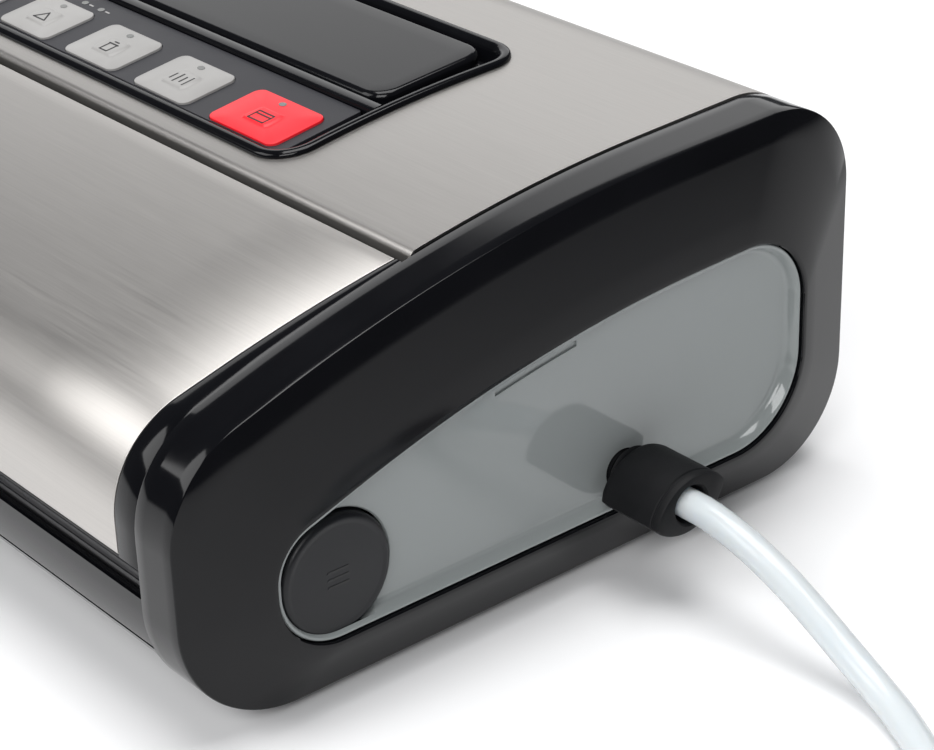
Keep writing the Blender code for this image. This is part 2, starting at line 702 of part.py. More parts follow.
# ---------------------------------------------------------------- release buttons
def make_release_button(side, sign):
    """A round button with a stem, the latch it moves and the spring that returns it."""
    face = PANEL_X + BUTTON_PROUD
    back = PANEL_X - 0.0030
    stem_end = CAP_INNER_X - BUTTON_STEM
    profile = (
        (stem_end, STEM_RADIUS - 0.0005), (stem_end + 0.0005, STEM_RADIUS), (back, STEM_RADIUS),
        (back + 0.00001, BUTTON_RADIUS), (face - 0.0022, BUTTON_RADIUS),
        (face - 0.0012, BUTTON_RADIUS - 0.0004), (face - 0.0004, BUTTON_RADIUS - 0.0014),
        (face, BUTTON_RADIUS - 0.0030), (face + 0.0002, BUTTON_RADIUS / 2),
    )
    turned(f"release_button_{side}", profile, (0, BUTTON_Y, BUTTON_Z), (sign, 0, 0), "satin_black",
           48, (sign * face, BUTTON_Y, BUTTON_Z))
    arm = 0.002
    slide_x = (HOOK_X - HOOK_WIDTH / 2, stem_end - GAP)
    low_x, high_x = sorted((sign * slide_x[0], sign * slide_x[1]))
    low = (low_x, HOOK_Y + 0.0025, BUTTON_Z - arm)
    high = (high_x, BUTTON_Y + STEM_RADIUS, BUTTON_Z + arm)
    origin = (sign * face, BUTTON_Y, BUTTON_Z)
    box(f"latch_slider_{side}", low, high, "satin_black", origin)
    make_spring(f"button_spring_{side}", sign * (CAP_INNER_X + WALL + GAP), sign * (back - GAP))


def make_spring(name, x0, x1):
    """A wire helix round the button's stem."""
    turns, per_turn, wire, radius = 4, 12, 0.0005, STEM_RADIUS + 0.0025
    sign = 1 if x1 > x0 else -1
    start, end = x0 + sign * wire, x1 - sign * wire
    data = bpy.data.curves.new(name, "CURVE")
    data.dimensions = "3D"
    data.bevel_depth = wire
    data.bevel_resolution = 1
    data.use_fill_caps = True
    spline = data.splines.new("POLY")
    count = turns * per_turn
    spline.points.add(count)
    for i in range(count + 1):
        angle = 2 * math.pi * i / per_turn
        place = (start + (end - start) * i / count, BUTTON_Y + radius * math.cos(angle),
                 BUTTON_Z + radius * math.sin(angle), 1.0)
        spline.points[i].co = place
    data.materials.append(material("motor_metal"))
    thing = bpy.data.objects.new(name, data)
    PARTS.objects.link(thing)
    return thing


# ---------------------------------------------------------------- control panel


def panel_frame(stretch):
    """A plane through two places on the curved top: its middle, and its turn about X."""
    front = Vector((stretch[0], top_at(stretch[0])))
    rear = Vector((stretch[1], top_at(stretch[1])))
    middle = (front + rear) / 2
    slope = math.atan2(rear.y - front.y, rear.x - front.x)
    return Matrix.Translation((0.0, middle.x, middle.y)) @ Matrix.Rotation(slope, 4, "X")


def on_panel(x, y, height, stretch=None):
    """A point of the panel: x and y seen from above, height above the plane."""
    frame = panel_frame(stretch or KEY_STRETCH)
    along = (y - frame.translation.y) / frame.col[1].y
    return frame @ Vector((x, along, height))


def below_panel(x, y, height):
    """A point straight above or below the plane through the whole panel."""
    point = on_panel(x, y, 0.0, WHOLE_STRETCH)
    return Vector((x, y, point.z + height))


def side_points(outline, pieces=8):
    """Splits the edges that run front to back, so that they can follow the curved top."""
    split = []
    for here, following in zip(outline, outline[1:] + outline[:1]):
        split.append(here)
        if abs(following[1] - here[1]) > 0.02:
            split += [tuple(Vector(here).lerp(Vector(following), i / pieces)) for i in range(1, pieces)]
    return split


def panel_box(low, high, finish, name, origin=(0.0, 0.0, 0.0), corner=0.0, stretch=None):
    """A box that lies in one of the panel's planes, given by the x and y that it covers."""
    corners = [(low[0], low[1]), (low[0], high[1]), (high[0], high[1]), (high[0], low[1])]
    outline = rounded(corners, (corner,) * 4, 4) if corner else corners
    rings = [[on_panel(x, y, z, stretch) for x, y in outline] for z in (low[2], high[2])]
    return add_object(name, loft_mesh(rings), finish, origin)


def key_list():
    keys = [("key_seal", SEAL_KEY_X, SEAL_KEY_WIDTH, "key_red")]
    for i in range(KEY_COUNT):
        keys.append((f"key_{i + 1}", FIRST_KEY_X - i * KEY_PITCH, KEY_WIDTH, "key_silver"))
    return keys


def make_control_panel():
    """The bezel that drops into the housing, with a lip that follows the curved steel."""
    def draped(inset, height):
        return [Vector((x, y, top_at(y) + height)) for x, y in side_points(panel_outline(inset, 6))]

    def flat(inset, height):
        return [below_panel(x, y, height) for x, y in side_points(panel_outline(inset, 6))]

    lip_foot = -STEEL_OUT + GAP
    wall_out = LIP_WIDTH + GAP
    rings = (
        flat(wall_out, -TRAY_DEPTH - WALL), draped(wall_out, lip_foot), draped(0.0, lip_foot),
        draped(0.0005, LIP_HEIGHT * 0.7), draped(0.0014, LIP_HEIGHT), draped(LIP_WIDTH, LIP_HEIGHT),
        draped(LIP_WIDTH + 0.0012, LIP_HEIGHT * 0.3), flat(LIP_WIDTH + 0.0018, -TRAY_DEPTH),
    )
    bezel = add_object("control_bezel", loft_mesh(rings), "gloss_black")
    inset = LIP_WIDTH + 0.0030
    base = -TRAY_DEPTH + 3 * GAP
    top = base + MEMBRANE_HEIGHT
    plate = panel_box((-PANEL_HALF + inset + 0.003, PANEL_FRONT + LIP_WIDTH + 0.0022, base),
                      (PANEL_HALF - inset - 0.003, MEMBRANE_REAR, top), "charcoal", "key_membrane")
    for name, x, width, finish in key_list():
        make_key(name, x, width, finish, top, plate, bezel)
    low = (-PAD_HALF, PAD_FRONT, -TRAY_DEPTH + GAP)
    high = (PAD_HALF, PANEL_REAR - inset - 0.001, PAD_TOP)
    pad = panel_box(low, high, "gloss_black", "display_pad", corner=0.008, stretch=WHOLE_STRETCH)
    bevel(pad, 0.0015)
    board_low = (-PANEL_HALF + 0.02, PANEL_FRONT + 0.01, -TRAY_DEPTH - WALL - 0.0075)
    board_high = (PANEL_HALF - 0.02, MEMBRANE_REAR + 0.02, -TRAY_DEPTH - WALL - 0.0059)
    panel_box(board_low, board_high, "board_green", "control_board", stretch=WHOLE_STRETCH)


def make_key(name, x, width, finish, level, plate, bezel):
    """One key: a flat cap level with the membrane, and a stem down to the board."""
    low = (x - width / 2, KEY_Y - KEY_LENGTH / 2, level - KEY_HEIGHT)
    high = (x + width / 2, KEY_Y + KEY_LENGTH / 2, level + 0.0006)
    hole_low = (low[0] - GAP, low[1] - GAP, -TRAY_DEPTH - 0.001)
    hole_high = (high[0] + GAP, high[1] + GAP, level + 0.01)
    boolean(plate, panel_box(hole_low, hole_high, None, f"{name}_hole", corner=0.0030 + GAP))
    middle = on_panel(x, KEY_Y, level)
    key = panel_box(low, high, finish, name, origin=middle, corner=0.0030)
    bottom = on_panel(x, KEY_Y, -TRAY_DEPTH - WALL - 0.0045)
    bottom_deep = on_panel(x, KEY_Y, -TRAY_DEPTH - WALL - 0.010)
    boolean(key, cylinder(f"{name}_stem", bottom, on_panel(x, KEY_Y, level), KEY_STEM, segments=16),
            "UNION")
    boolean(bezel, cylinder(f"{name}_guide", bottom_deep, on_panel(x, KEY_Y, level + 0.01),
                            KEY_STEM + 0.0005, segments=20))


# ---------------------------------------------------------------- inner works


def make_pump():
    """The piston pump: a body, its motor and the crank disc that the motor turns."""
    low = (PUMP_X - 0.024, PUMP_Y - 0.020, PUMP_BASE)
    high = (PUMP_X + 0.024, PUMP_Y + 0.020, PUMP_BASE + 0.034)
    bevel(box("pump_body", low, high, "satin_black"), 0.002)
    axis_z = PUMP_BASE + 0.020
    crank_x = PUMP_X - 0.028
    start = (crank_x - 0.0025 - 0.002, PUMP_Y, axis_z)
    profile = ((-0.042, 0.014), (-0.041, 0.0155), (-0.002, 0.0155), (0.0, 0.0145))
    turned("pump_motor", profile, start, (1, 0, 0), "motor_metal", 32)
    crank = turned("pump_crank", ((-0.0025, 0.011), (0.0018, 0.011)), (crank_x, PUMP_Y, axis_z),
                   (1, 0, 0), "motor_metal", 32, (crank_x, PUMP_Y, axis_z))
    pin_start = (crank_x + 0.001, PUMP_Y, axis_z + 0.007)
    pin_end = (crank_x + 0.0036, PUMP_Y, axis_z + 0.007)
    boolean(crank, cylinder("crank_pin", pin_start, pin_end, 0.002, segments=16), "UNION")


def make_transformer():
    low = (-0.105, FRONT + 0.120, PUMP_BASE)
    high = (-0.055, FRONT + 0.165, PUMP_BASE + 0.040)
    bevel(box("transformer", low, high, "copper"), 0.002)


def smooth_route(points, spacing):
    """Evenly spaced points along a smooth curve through a few hand-placed ones."""
    points = [Vector(p) for p in points]
    ends = [2 * points[0] - points[1]] + points + [2 * points[-1] - points[-2]]
    dense = []
    for a, b, c, d in zip(ends, ends[1:], ends[2:], ends[3:]):
        for step in range(20):
            t = step / 20
            dense.append(0.5 * ((2 * b) + (c - a) * t + (2 * a - 5 * b + 4 * c - d) * t * t
                                + (3 * b - a - 3 * c + d) * t * t * t))
    dense.append(points[-1])
    lengths = [0.0]
    for p, q in zip(dense, dense[1:]):
        lengths.append(lengths[-1] + (q - p).length)
    count = max(2, round(lengths[-1] / spacing))
    even = []
    k = 0
    for i in range(count + 1):
        want = lengths[-1] * i / count
        while k < len(lengths) - 2 and lengths[k + 1] < want:
            k += 1
        share = (want - lengths[k]) / (lengths[k + 1] - lengths[k])
        even.append(dense[k].lerp(dense[k + 1], share))
    return even


def tube(name, points, radius, finish, sides=3):
    data = bpy.data.curves.new(name, "CURVE")
    data.dimensions = "3D"
    data.bevel_depth = radius
    data.bevel_resolution = sides
    data.use_fill_caps = True
    spline = data.splines.new("POLY")
    spline.points.add(len(points) - 1)
    for slot, point in zip(spline.points, points):
        slot.co = (*point, 1.0)
    data.materials.append(material(finish))
    thing = bpy.data.objects.new(name, data)
    PARTS.objects.link(thing)
    return thing


def make_inner_tubes():
    """Silicone tubes from the pump to the channel and to the hose port."""
    hole_x = -CHANNEL_HALF / 2
    hole_y = (CHANNEL_FRONT + CHANNEL_REAR) / 2
    start_z = DECK_TOP - CHANNEL_DEPTH - WALL - 4 * GAP
    pump_rear = PUMP_Y + 0.020 + 2 * GAP
    route = ((hole_x, hole_y, start_z), (hole_x, hole_y, start_z - 0.004),
             (hole_x + 0.003, hole_y + 0.008, start_z - 0.011), (-0.060, hole_y + 0.030, 0.014),
             (-0.035, PLATE_FRONT + 0.020, 0.014),
             (-0.030, PUMP_Y + 0.010, 0.014), (0.000, PUMP_Y + 0.050, 0.018),
             (0.050, PUMP_Y + 0.052, 0.024), (PUMP_X - 0.012, PUMP_Y + 0.046, 0.026),
             (PUMP_X - 0.010, pump_rear + 0.012, 0.026), (PUMP_X - 0.010, pump_rear, 0.026))
    tube("channel_tube", smooth_route(route, 0.008), TUBE_RADIUS, "silicone", 2)
    socket_end = PANEL_X - WALL - SOCKET_DEPTH - GAP
    route = ((PUMP_X + 0.012, pump_rear, 0.026), (PUMP_X + 0.012, pump_rear + 0.010, 0.026),
             (PUMP_X + 0.025, pump_rear + 0.024, 0.027), (PUMP_X + 0.060, PORT_Y + 0.014, PORT_Z),
             (socket_end - 0.020, PORT_Y, PORT_Z), (socket_end - 0.010, PORT_Y, PORT_Z),
             (socket_end, PORT_Y, PORT_Z))
    tube("port_tube", smooth_route(route, 0.008), TUBE_RADIUS, "silicone", 2)


def make_port_and_gland():
    """The accessory port in the right side panel, and the cord gland in the rear wall."""
    depth = WALL + SOCKET_DEPTH
    outer = ((-depth, PORT_RADIUS - 0.0004), (0.0006, PORT_RADIUS - 0.0004))
    start = (PANEL_X, PORT_Y, PORT_Z)
    socket = turned("port_socket", outer, start, (1, 0, 0), "rubber", 32)
    bore_start = (PANEL_X - depth - 0.01, PORT_Y, PORT_Z)
    bore_end = (PANEL_X + 0.01, PORT_Y, PORT_Z)
    boolean(socket, cylinder("port_bore", bore_start, bore_end, 0.003, segments=24))
    outside = REAR - CASING_OUT
    gland = turned("power_gland", ((-0.008, GLAND_RADIUS), (CASING_OUT, GLAND_RADIUS - 0.0005)),
                   (GLAND_X, outside, GLAND_Z), (0, 1, 0), "rubber", 24)
    boolean(gland, cylinder("gland_bore", (GLAND_X, outside - 0.02, GLAND_Z),
                            (GLAND_X, outside + 0.02, GLAND_Z), 0.0035, segments=20))


# ---------------------------------------------------------------- accessory hose


def hose_route():
    """Out of the plug, down to the surface in one sweep, and straight up to the side of the coil."""
    return (
        (HOSE_START_X, PORT_Y, PORT_Z), (HOSE_START_X + 0.010, PORT_Y, PORT_Z),
        (0.2345, 0.0270, 0.0286), (0.2430, 0.0271, 0.0272), (0.2525, 0.0272, 0.0246),
        (0.2630, 0.0272, 0.0207), (0.2745, 0.0270, 0.0153), (0.2855, 0.0264, 0.0102),
        (0.2960, 0.0250, 0.0065), (0.3060, 0.0221, 0.0049), (0.3160, 0.0174, FLOOR_Z),
        (0.3260, 0.0121, FLOOR_Z), (0.3355, 0.0070, FLOOR_Z), (0.3448, 0.0021, FLOOR_Z),
    )


def lens_outline(steps=14, tip=0.0012):
    """Two arcs that meet in blunt tips, turned by the plug's tilt about the port."""
    width, height = PLUG_HALF_WIDTH, PLUG_HALF_HEIGHT
    radius = (width * width + height * height) / (2 * height)
    reach = math.asin((width - tip) / radius)
    points = []
    for side in (1, -1):
        for i in range(steps + 1):
            angle = reach * (1 - 2 * i / steps) * side
            offset = radius * math.cos(angle) - radius + height
            points.append(Vector((-radius * math.sin(angle), side * offset)))
    turn = Matrix.Rotation(math.radians(PLUG_TILT), 2)
    return [tuple(turn @ point) for point in points]


def make_hose():
    """The rubber plug in the port, the loose hose, its coiled rest and its far connector."""
    plug = turned("hose_plug", ((0.0, NECK_RADIUS), (BARREL_X - PLUG_X + 0.002, NECK_RADIUS)),
                  (PLUG_X, PORT_Y, PORT_Z), (1, 0, 0), "rubber", 32)
    lens = lens_outline()
    stations = ((BARREL_X, 0.94), (BARREL_X + 0.0007, 1.0), (PLUG_END_X - 0.0007, 1.0), (PLUG_END_X, 0.94))
    rings = [[(x, PORT_Y + share * y, PORT_Z + share * z) for y, z in lens] for x, share in stations]
    boolean(plug, add_object("plug_barrel", loft_mesh(rings), None), "UNION")
    bore_end = PLUG_END_X + 0.01
    boolean(plug, cylinder("plug_bore", (HOSE_START_X - 0.0005, PORT_Y, PORT_Z),
                           (bore_end, PORT_Y, PORT_Z), BORE_RADIUS, segments=32))
    tube("accessory_hose", smooth_route(hose_route(), 0.009), HOSE_RADIUS, "silicone", 2)
    x, y = COIL_CENTRE
    coil = turned("hose_coil", ((0.0001, COIL_OUTER), (COIL_HEIGHT, COIL_OUTER)), (x, y, 0.0),
                  (0, 0, 1), "silicone", 48)
    boolean(coil, cylinder("coil_hollow", (x, y, -0.01), (x, y, 0.05), COIL_INNER, segments=48))
    middle = (COIL_INNER + COIL_OUTER) / 2
    tip_z = COIL_HEIGHT + GAP + TIP_RADIUS
    start = (x + middle, y, tip_z)
    profile = ((0.0, TIP_RADIUS - 0.001), (0.001, TIP_RADIUS), (0.014, TIP_RADIUS),
               (0.0145, TIP_RADIUS - 0.0015), (TIP_LENGTH, TIP_RADIUS - 0.0025))
    turned("hose_tip", profile, start, (0, 1, 0), "rubber", 24)


def build():
    make_base()
    make_screws()
    make_feet()
    make_deck()
    make_channel_pieces()
    make_rear_casing()
    make_housing_cover()
    make_lid()
    for side, sign in (("right", 1), ("left", -1)):
        make_end_cap(side, sign)
        make_hinge_pin(side, sign)
        make_release_button(side, sign)
    make_control_panel()
    make_pump()
    make_transformer()
    make_inner_tubes()
    make_port_and_gland()
    make_hose()


clear_scene()
PARTS = new_collection("vacuum_sealer")
CUTTERS = new_collection("cutters")
build()
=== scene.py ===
# %% [markdown]
# # A countertop vacuum sealer, dressed for its portrait
# The solid model of the machine already exists, with its joints. This lesson builds what the eye
# sees: thin steel skins, polished black end caps, soft keys, a clear hose, and their finishes.
# Everything is in metres, with +Z up, the front facing -Y and the hose port at the +X end.

# %% Load the frame
import json
import math

import bmesh
import bpy
from mathutils import Matrix, Vector

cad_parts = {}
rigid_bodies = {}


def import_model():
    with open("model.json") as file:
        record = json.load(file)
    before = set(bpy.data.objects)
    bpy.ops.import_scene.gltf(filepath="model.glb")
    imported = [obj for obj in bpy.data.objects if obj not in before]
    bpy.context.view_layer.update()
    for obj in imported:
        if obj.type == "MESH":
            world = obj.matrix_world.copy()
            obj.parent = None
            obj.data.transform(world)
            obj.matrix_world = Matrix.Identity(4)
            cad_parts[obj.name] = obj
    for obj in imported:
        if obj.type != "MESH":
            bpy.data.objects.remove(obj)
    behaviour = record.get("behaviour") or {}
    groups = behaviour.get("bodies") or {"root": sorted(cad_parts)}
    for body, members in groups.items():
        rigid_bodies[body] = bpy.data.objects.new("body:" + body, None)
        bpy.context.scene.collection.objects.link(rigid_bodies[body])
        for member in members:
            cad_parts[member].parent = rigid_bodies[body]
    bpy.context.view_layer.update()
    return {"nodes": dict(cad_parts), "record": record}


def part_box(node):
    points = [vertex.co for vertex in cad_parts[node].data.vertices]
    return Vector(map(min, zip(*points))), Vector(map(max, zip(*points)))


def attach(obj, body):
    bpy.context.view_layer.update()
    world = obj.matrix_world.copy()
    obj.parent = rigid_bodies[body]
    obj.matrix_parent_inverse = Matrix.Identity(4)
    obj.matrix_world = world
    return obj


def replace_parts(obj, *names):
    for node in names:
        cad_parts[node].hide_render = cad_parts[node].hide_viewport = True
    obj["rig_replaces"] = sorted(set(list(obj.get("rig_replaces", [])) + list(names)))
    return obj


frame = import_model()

# %% [markdown]
# ## The camera
# A product is often shown from one front corner, a little from above, with a long lens that keeps
# its edges nearly parallel. The camera is placed by its position and its three axes, which is more
# exact than aiming it with a constraint.

# %% Camera
CAMERA_PLACE = Vector((0.6464, -0.3839, 0.3708))
CAMERA_RIGHT = Vector((0.6397, 0.7681, -0.0291)).normalized()
CAMERA_AHEAD = Vector((-0.6908, 0.5580, -0.4598)).normalized()
LENS_MM = 100.2


def make_camera():
    up = CAMERA_RIGHT.cross(CAMERA_AHEAD).normalized()
    right = CAMERA_AHEAD.cross(up).normalized()
    turn = Matrix((right, up, -CAMERA_AHEAD)).transposed().to_4x4()
    data = bpy.data.cameras.new("corner_camera")
    data.lens = LENS_MM
    data.sensor_width = 36.0
    data.clip_start = 0.01
    camera = bpy.data.objects.new("corner_camera", data)
    camera.matrix_world = Matrix.Translation(CAMERA_PLACE) @ turn
    bpy.context.scene.collection.objects.link(camera)
    bpy.context.scene.camera = camera
    return camera


camera = make_camera()
print("camera at", [round(v, 3) for v in camera.location])

# %% [markdown]
# ## Finishes
# A finish is a small graph of nodes round one Principled shader. Colour, metal and gloss that are the
# same everywhere sit on the shader itself. Grain, pores and wear come from noise in object
# coordinates, so they stay on the surface from every side and need no picture files.

# %% A helper for finishes
FINISHES = {}


def finish(name, colour, rough, metal=0.0, **sockets):
    """A material with one Principled shader, with its even values set on the shader's sockets."""
    material = bpy.data.materials.new(name)
    material.use_nodes = True
    tree = material.node_tree
    shader = tree.nodes["Principled BSDF"]
    shader.inputs["Base Color"].default_value = (*colour, 1.0)
    shader.inputs["Roughness"].default_value = rough
    shader.inputs["Metallic"].default_value = metal
    for socket, value in sockets.items():
        shader.inputs[socket.replace("_", " ")].default_value = value
    FINISHES[name] = material
    return tree, shader


def grain(tree, scale, stretch=(1.0, 1.0, 1.0), detail=3.0, roughness=0.5):
    """Noise in object coordinates; stretch draws it out along an axis."""
    place = tree.nodes.new("ShaderNodeTexCoord")
    shape = tree.nodes.new("ShaderNodeMapping")
    noise = tree.nodes.new("ShaderNodeTexNoise")
    shape.inputs["Scale"].default_value = stretch
    noise.inputs["Scale"].default_value = scale
    noise.inputs["Detail"].default_value = detail
    noise.inputs["Roughness"].default_value = roughness
    tree.links.new(place.outputs["Object"], shape.inputs["Vector"])
    tree.links.new(shape.outputs["Vector"], noise.inputs["Vector"])
    return noise.outputs["Fac"]


def gloss(tree, shader, fac, low, high):
    """Turns noise into a roughness between low and high."""
    span = tree.nodes.new("ShaderNodeMapRange")
    span.inputs["From Min"].default_value = 0.3
    span.inputs["From Max"].default_value = 0.7
    span.inputs["To Min"].default_value = low
    span.inputs["To Max"].default_value = high
    tree.links.new(fac, span.inputs["Value"])
    tree.links.new(span.outputs["Result"], shader.inputs["Roughness"])


def paint(tree, shader, fac, dark, light, start=0.3, end=0.7):
    """Turns noise into a colour between two near shades."""
    ramp = tree.nodes.new("ShaderNodeValToRGB")
    ramp.color_ramp.elements[0].position = start
    ramp.color_ramp.elements[0].color = (*dark, 1.0)
    ramp.color_ramp.elements[1].position = end
    ramp.color_ramp.elements[1].color = (*light, 1.0)
    tree.links.new(fac, ramp.inputs["Fac"])
    tree.links.new(ramp.outputs["Color"], shader.inputs["Base Color"])


def cells(tree, scale):
    """A pattern of small cells, as in foam or on zinc."""
    pattern = tree.nodes.new("ShaderNodeTexVoronoi")
    pattern.inputs["Scale"].default_value = scale
    return pattern.outputs


def relief(tree, shader, heights, depth, strength=1.0):
    """Raises the surface by heights, each one on top of the last, as real relief would."""
    last = None
    for fac, share in heights:
        bump = tree.nodes.new("ShaderNodeBump")
        bump.inputs["Strength"].default_value = strength
        bump.inputs["Distance"].default_value = depth * share
        tree.links.new(fac, bump.inputs["Height"])
        if last:
            tree.links.new(last, bump.inputs["Normal"])
        last = bump.outputs["Normal"]
    tree.links.new(last, shader.inputs["Normal"])


print("finish helpers ready")

# %% [markdown]
# ### Brushed steel
# The sheet is drawn through an abrasive belt, so its scratches run along the machine. Noise that is
# squeezed hard across the grain and left long along it gives both the relief and the uneven sheen,
# and the shader's own anisotropy stretches the highlights across the scratches.

# %% Brushed steel
GRAIN_ALONG_X = (1.0, 60.0, 60.0)

tree, shader = finish("brushed_steel", (0.50, 0.482, 0.462), 0.40, 1.0, Anisotropic=0.45)
scratches = grain(tree, 34.0, GRAIN_ALONG_X, 6.0, 0.65)
mottle = grain(tree, 14.0, (1.0, 3.0, 3.0), 2.0)
paint(tree, shader, scratches, (0.475, 0.458, 0.439), (0.530, 0.511, 0.490))
gloss(tree, shader, scratches, 0.38, 0.44)
relief(tree, shader, ((scratches, 1.0), (mottle, 2.0)), 0.00002, 0.18)
tangent = tree.nodes.new("ShaderNodeTangent")
tangent.direction_type = "RADIAL"
tangent.axis = "X"
tree.links.new(tangent.outputs["Tangent"], shader.inputs["Tangent"])
print("steel:", len(tree.nodes), "nodes")

# %% [markdown]
# ### Polished and satin black plastic
# Both are the same plastic from two moulds. The polished one mirrors the room, broken only by a faint
# orange peel and a little haze from handling. The satin one's mould was spark-eroded, so its skin is
# a carpet of tiny pits.

# %% Black plastics
tree, shader = finish("polished_black", (0.0030, 0.0031, 0.0040), 0.09, IOR=1.46, Specular_IOR_Level=0.28)
peel = grain(tree, 260.0, detail=2.0)
haze = grain(tree, 22.0, detail=5.0, roughness=0.6)
gloss(tree, shader, haze, 0.07, 0.14)
paint(tree, shader, haze, (0.0024, 0.0025, 0.0033), (0.0038, 0.0039, 0.0050))
relief(tree, shader, ((peel, 1.0), (grain(tree, 30.0, detail=1.0), 3.0)), 0.000004, 0.5)

tree, shader = finish("satin_black", (0.0075, 0.0080, 0.0095), 0.36, Specular_IOR_Level=0.3)
pits = grain(tree, 2600.0, detail=2.0)
wear = grain(tree, 40.0, detail=4.0)
gloss(tree, shader, wear, 0.30, 0.42)
paint(tree, shader, wear, (0.0065, 0.0070, 0.0085), (0.0095, 0.0100, 0.0120))
relief(tree, shader, ((pits, 1.0),), 0.00003, 0.5)

tree, shader = finish("hook_black", (0.020, 0.020, 0.022), 0.30)
relief(tree, shader, ((grain(tree, 900.0), 1.0),), 0.00002, 0.4)
gloss(tree, shader, grain(tree, 90.0), 0.25, 0.38)
print("finishes:", sorted(FINISHES))

# %% [markdown]
# ### Grey side panel, key film and printed inks
# The side panels are a smooth grey moulding that mirrors what stands near it. The keys are one soft
# film, printed from below: charcoal between the keys, warm silver and one red area on them. A printed
# film is even in colour, with a fine matt tooth.

# %% Panel, film and inks
tree, shader = finish("panel_grey", (0.235, 0.252, 0.252), 0.07, IOR=1.5)
cloud = grain(tree, 9.0, detail=4.0)
paint(tree, shader, cloud, (0.232, 0.252, 0.250), (0.252, 0.270, 0.270))
gloss(tree, shader, grain(tree, 60.0, detail=5.0), 0.055, 0.095)
relief(tree, shader, ((grain(tree, 420.0, detail=2.0), 1.0),), 0.000004, 0.5)


def ink(name, dark, light, rough):
    """A printed film: even in colour, with a fine tooth."""
    tree, shader = finish(name, dark, rough, Specular_IOR_Level=0.35)
    fine = grain(tree, 1500.0, detail=2.0)
    broad = grain(tree, 45.0, detail=3.0)
    paint(tree, shader, broad, dark, light)
    gloss(tree, shader, broad, rough - 0.04, rough + 0.05)
    relief(tree, shader, ((fine, 1.0),), 0.000018, 0.45)


ink("film_charcoal", (0.015, 0.015, 0.019), (0.020, 0.020, 0.025), 0.42)
ink("key_silver", (0.29, 0.284, 0.276), (0.34, 0.333, 0.325), 0.36)
ink("key_red", (0.80, 0.016, 0.026), (0.88, 0.024, 0.036), 0.40)
ink("print_black", (0.010, 0.010, 0.011), (0.020, 0.020, 0.021), 0.45)
ink("lamp_grey", (0.13, 0.135, 0.13), (0.17, 0.17, 0.165), 0.25)
ink("tray_charcoal", (0.030, 0.030, 0.034), (0.040, 0.040, 0.045), 0.35)
print("finishes:", len(FINISHES))

# %% [markdown]
# ### Rubber, foam and clear hose
# Rubber is dull and slightly dusty. Foam shows its open cells. The hose is milky silicone: light goes
# in, scatters and comes out again further along, so it needs some transmission and some scattering
# below the skin, or it looks like painted plastic.

# %% Soft finishes
tree, shader = finish("rubber", (0.0040, 0.0042, 0.0052), 0.62, Specular_IOR_Level=0.22)
dust = grain(tree, 120.0, detail=5.0, roughness=0.7)
paint(tree, shader, dust, (0.0032, 0.0034, 0.0042), (0.0060, 0.0062, 0.0072), 0.35, 0.75)
gloss(tree, shader, dust, 0.52, 0.70)
relief(tree, shader, ((grain(tree, 1800.0, detail=3.0), 1.0), (dust, 1.5)), 0.00003, 0.5)

tree, shader = finish("foam", (0.028, 0.028, 0.030), 0.9)
pores = cells(tree, 1700.0)["Distance"]
paint(tree, shader, pores, (0.018, 0.018, 0.019), (0.042, 0.042, 0.045), 0.1, 0.6)
relief(tree, shader, ((pores, 1.0),), 0.0002, 0.8)

tree, shader = finish("milky_silicone", (0.82, 0.865, 0.885), 0.16, IOR=1.41, Transmission_Weight=0.35,
                      Subsurface_Weight=0.35, Subsurface_Radius=(0.004, 0.0045, 0.005), Subsurface_Scale=1.0)
paint(tree, shader, grain(tree, 35.0), (0.78, 0.835, 0.865), (0.84, 0.875, 0.885))
gloss(tree, shader, grain(tree, 300.0), 0.14, 0.22)
relief(tree, shader, ((grain(tree, 60.0), 1.0),), 0.00001, 0.2)

tree, shader = finish("hose_bore", (0.80, 0.86, 0.90), 0.30, IOR=1.2)
paint(tree, shader, grain(tree, 50.0), (0.76, 0.83, 0.88), (0.86, 0.90, 0.92))
relief(tree, shader, ((grain(tree, 220.0), 1.0),), 0.00002, 0.4)
print("finishes:", len(FINISHES))

# %% [markdown]
# ### Inner metals, board and tape
# These show only when the lid is up or from below, but they are real pieces: zinc-plated steel with
# a faint crystal pattern, varnished copper, a green circuit board, and the woven glass tape over the
# heating wire.

# %% Inner finishes
tree, shader = finish("zinc", (0.40, 0.41, 0.42), 0.34, 1.0)
paint(tree, shader, cells(tree, 420.0)["Color"], (0.34, 0.35, 0.36), (0.46, 0.47, 0.48))
gloss(tree, shader, grain(tree, 160.0), 0.26, 0.44)
relief(tree, shader, ((grain(tree, 700.0), 1.0),), 0.00002, 0.4)

tree, shader = finish("copper", (0.50, 0.22, 0.11), 0.32, 1.0)
turns = grain(tree, 60.0, (1.0, 40.0, 1.0), 2.0)
paint(tree, shader, turns, (0.36, 0.15, 0.075), (0.58, 0.27, 0.14))
relief(tree, shader, ((turns, 1.0),), 0.0001, 0.6)

tree, shader = finish("board_green", (0.025, 0.13, 0.06), 0.35)
tracks = grain(tree, 180.0, (1.0, 5.0, 1.0), 2.0)
paint(tree, shader, tracks, (0.018, 0.10, 0.045), (0.035, 0.17, 0.08), 0.45, 0.55)
relief(tree, shader, ((tracks, 1.0),), 0.00004, 0.6)

tree, shader = finish("glass_tape", (0.42, 0.31, 0.19), 0.55)
weft = tree.nodes.new("ShaderNodeTexWave")
weft.inputs["Scale"].default_value = 900.0
weft.inputs["Distortion"].default_value = 0.6
threads = weft.outputs["Fac"]
paint(tree, shader, threads, (0.34, 0.25, 0.15), (0.50, 0.38, 0.24))
relief(tree, shader, ((threads, 1.0),), 0.00005, 0.6)
print("finishes:", len(FINISHES))

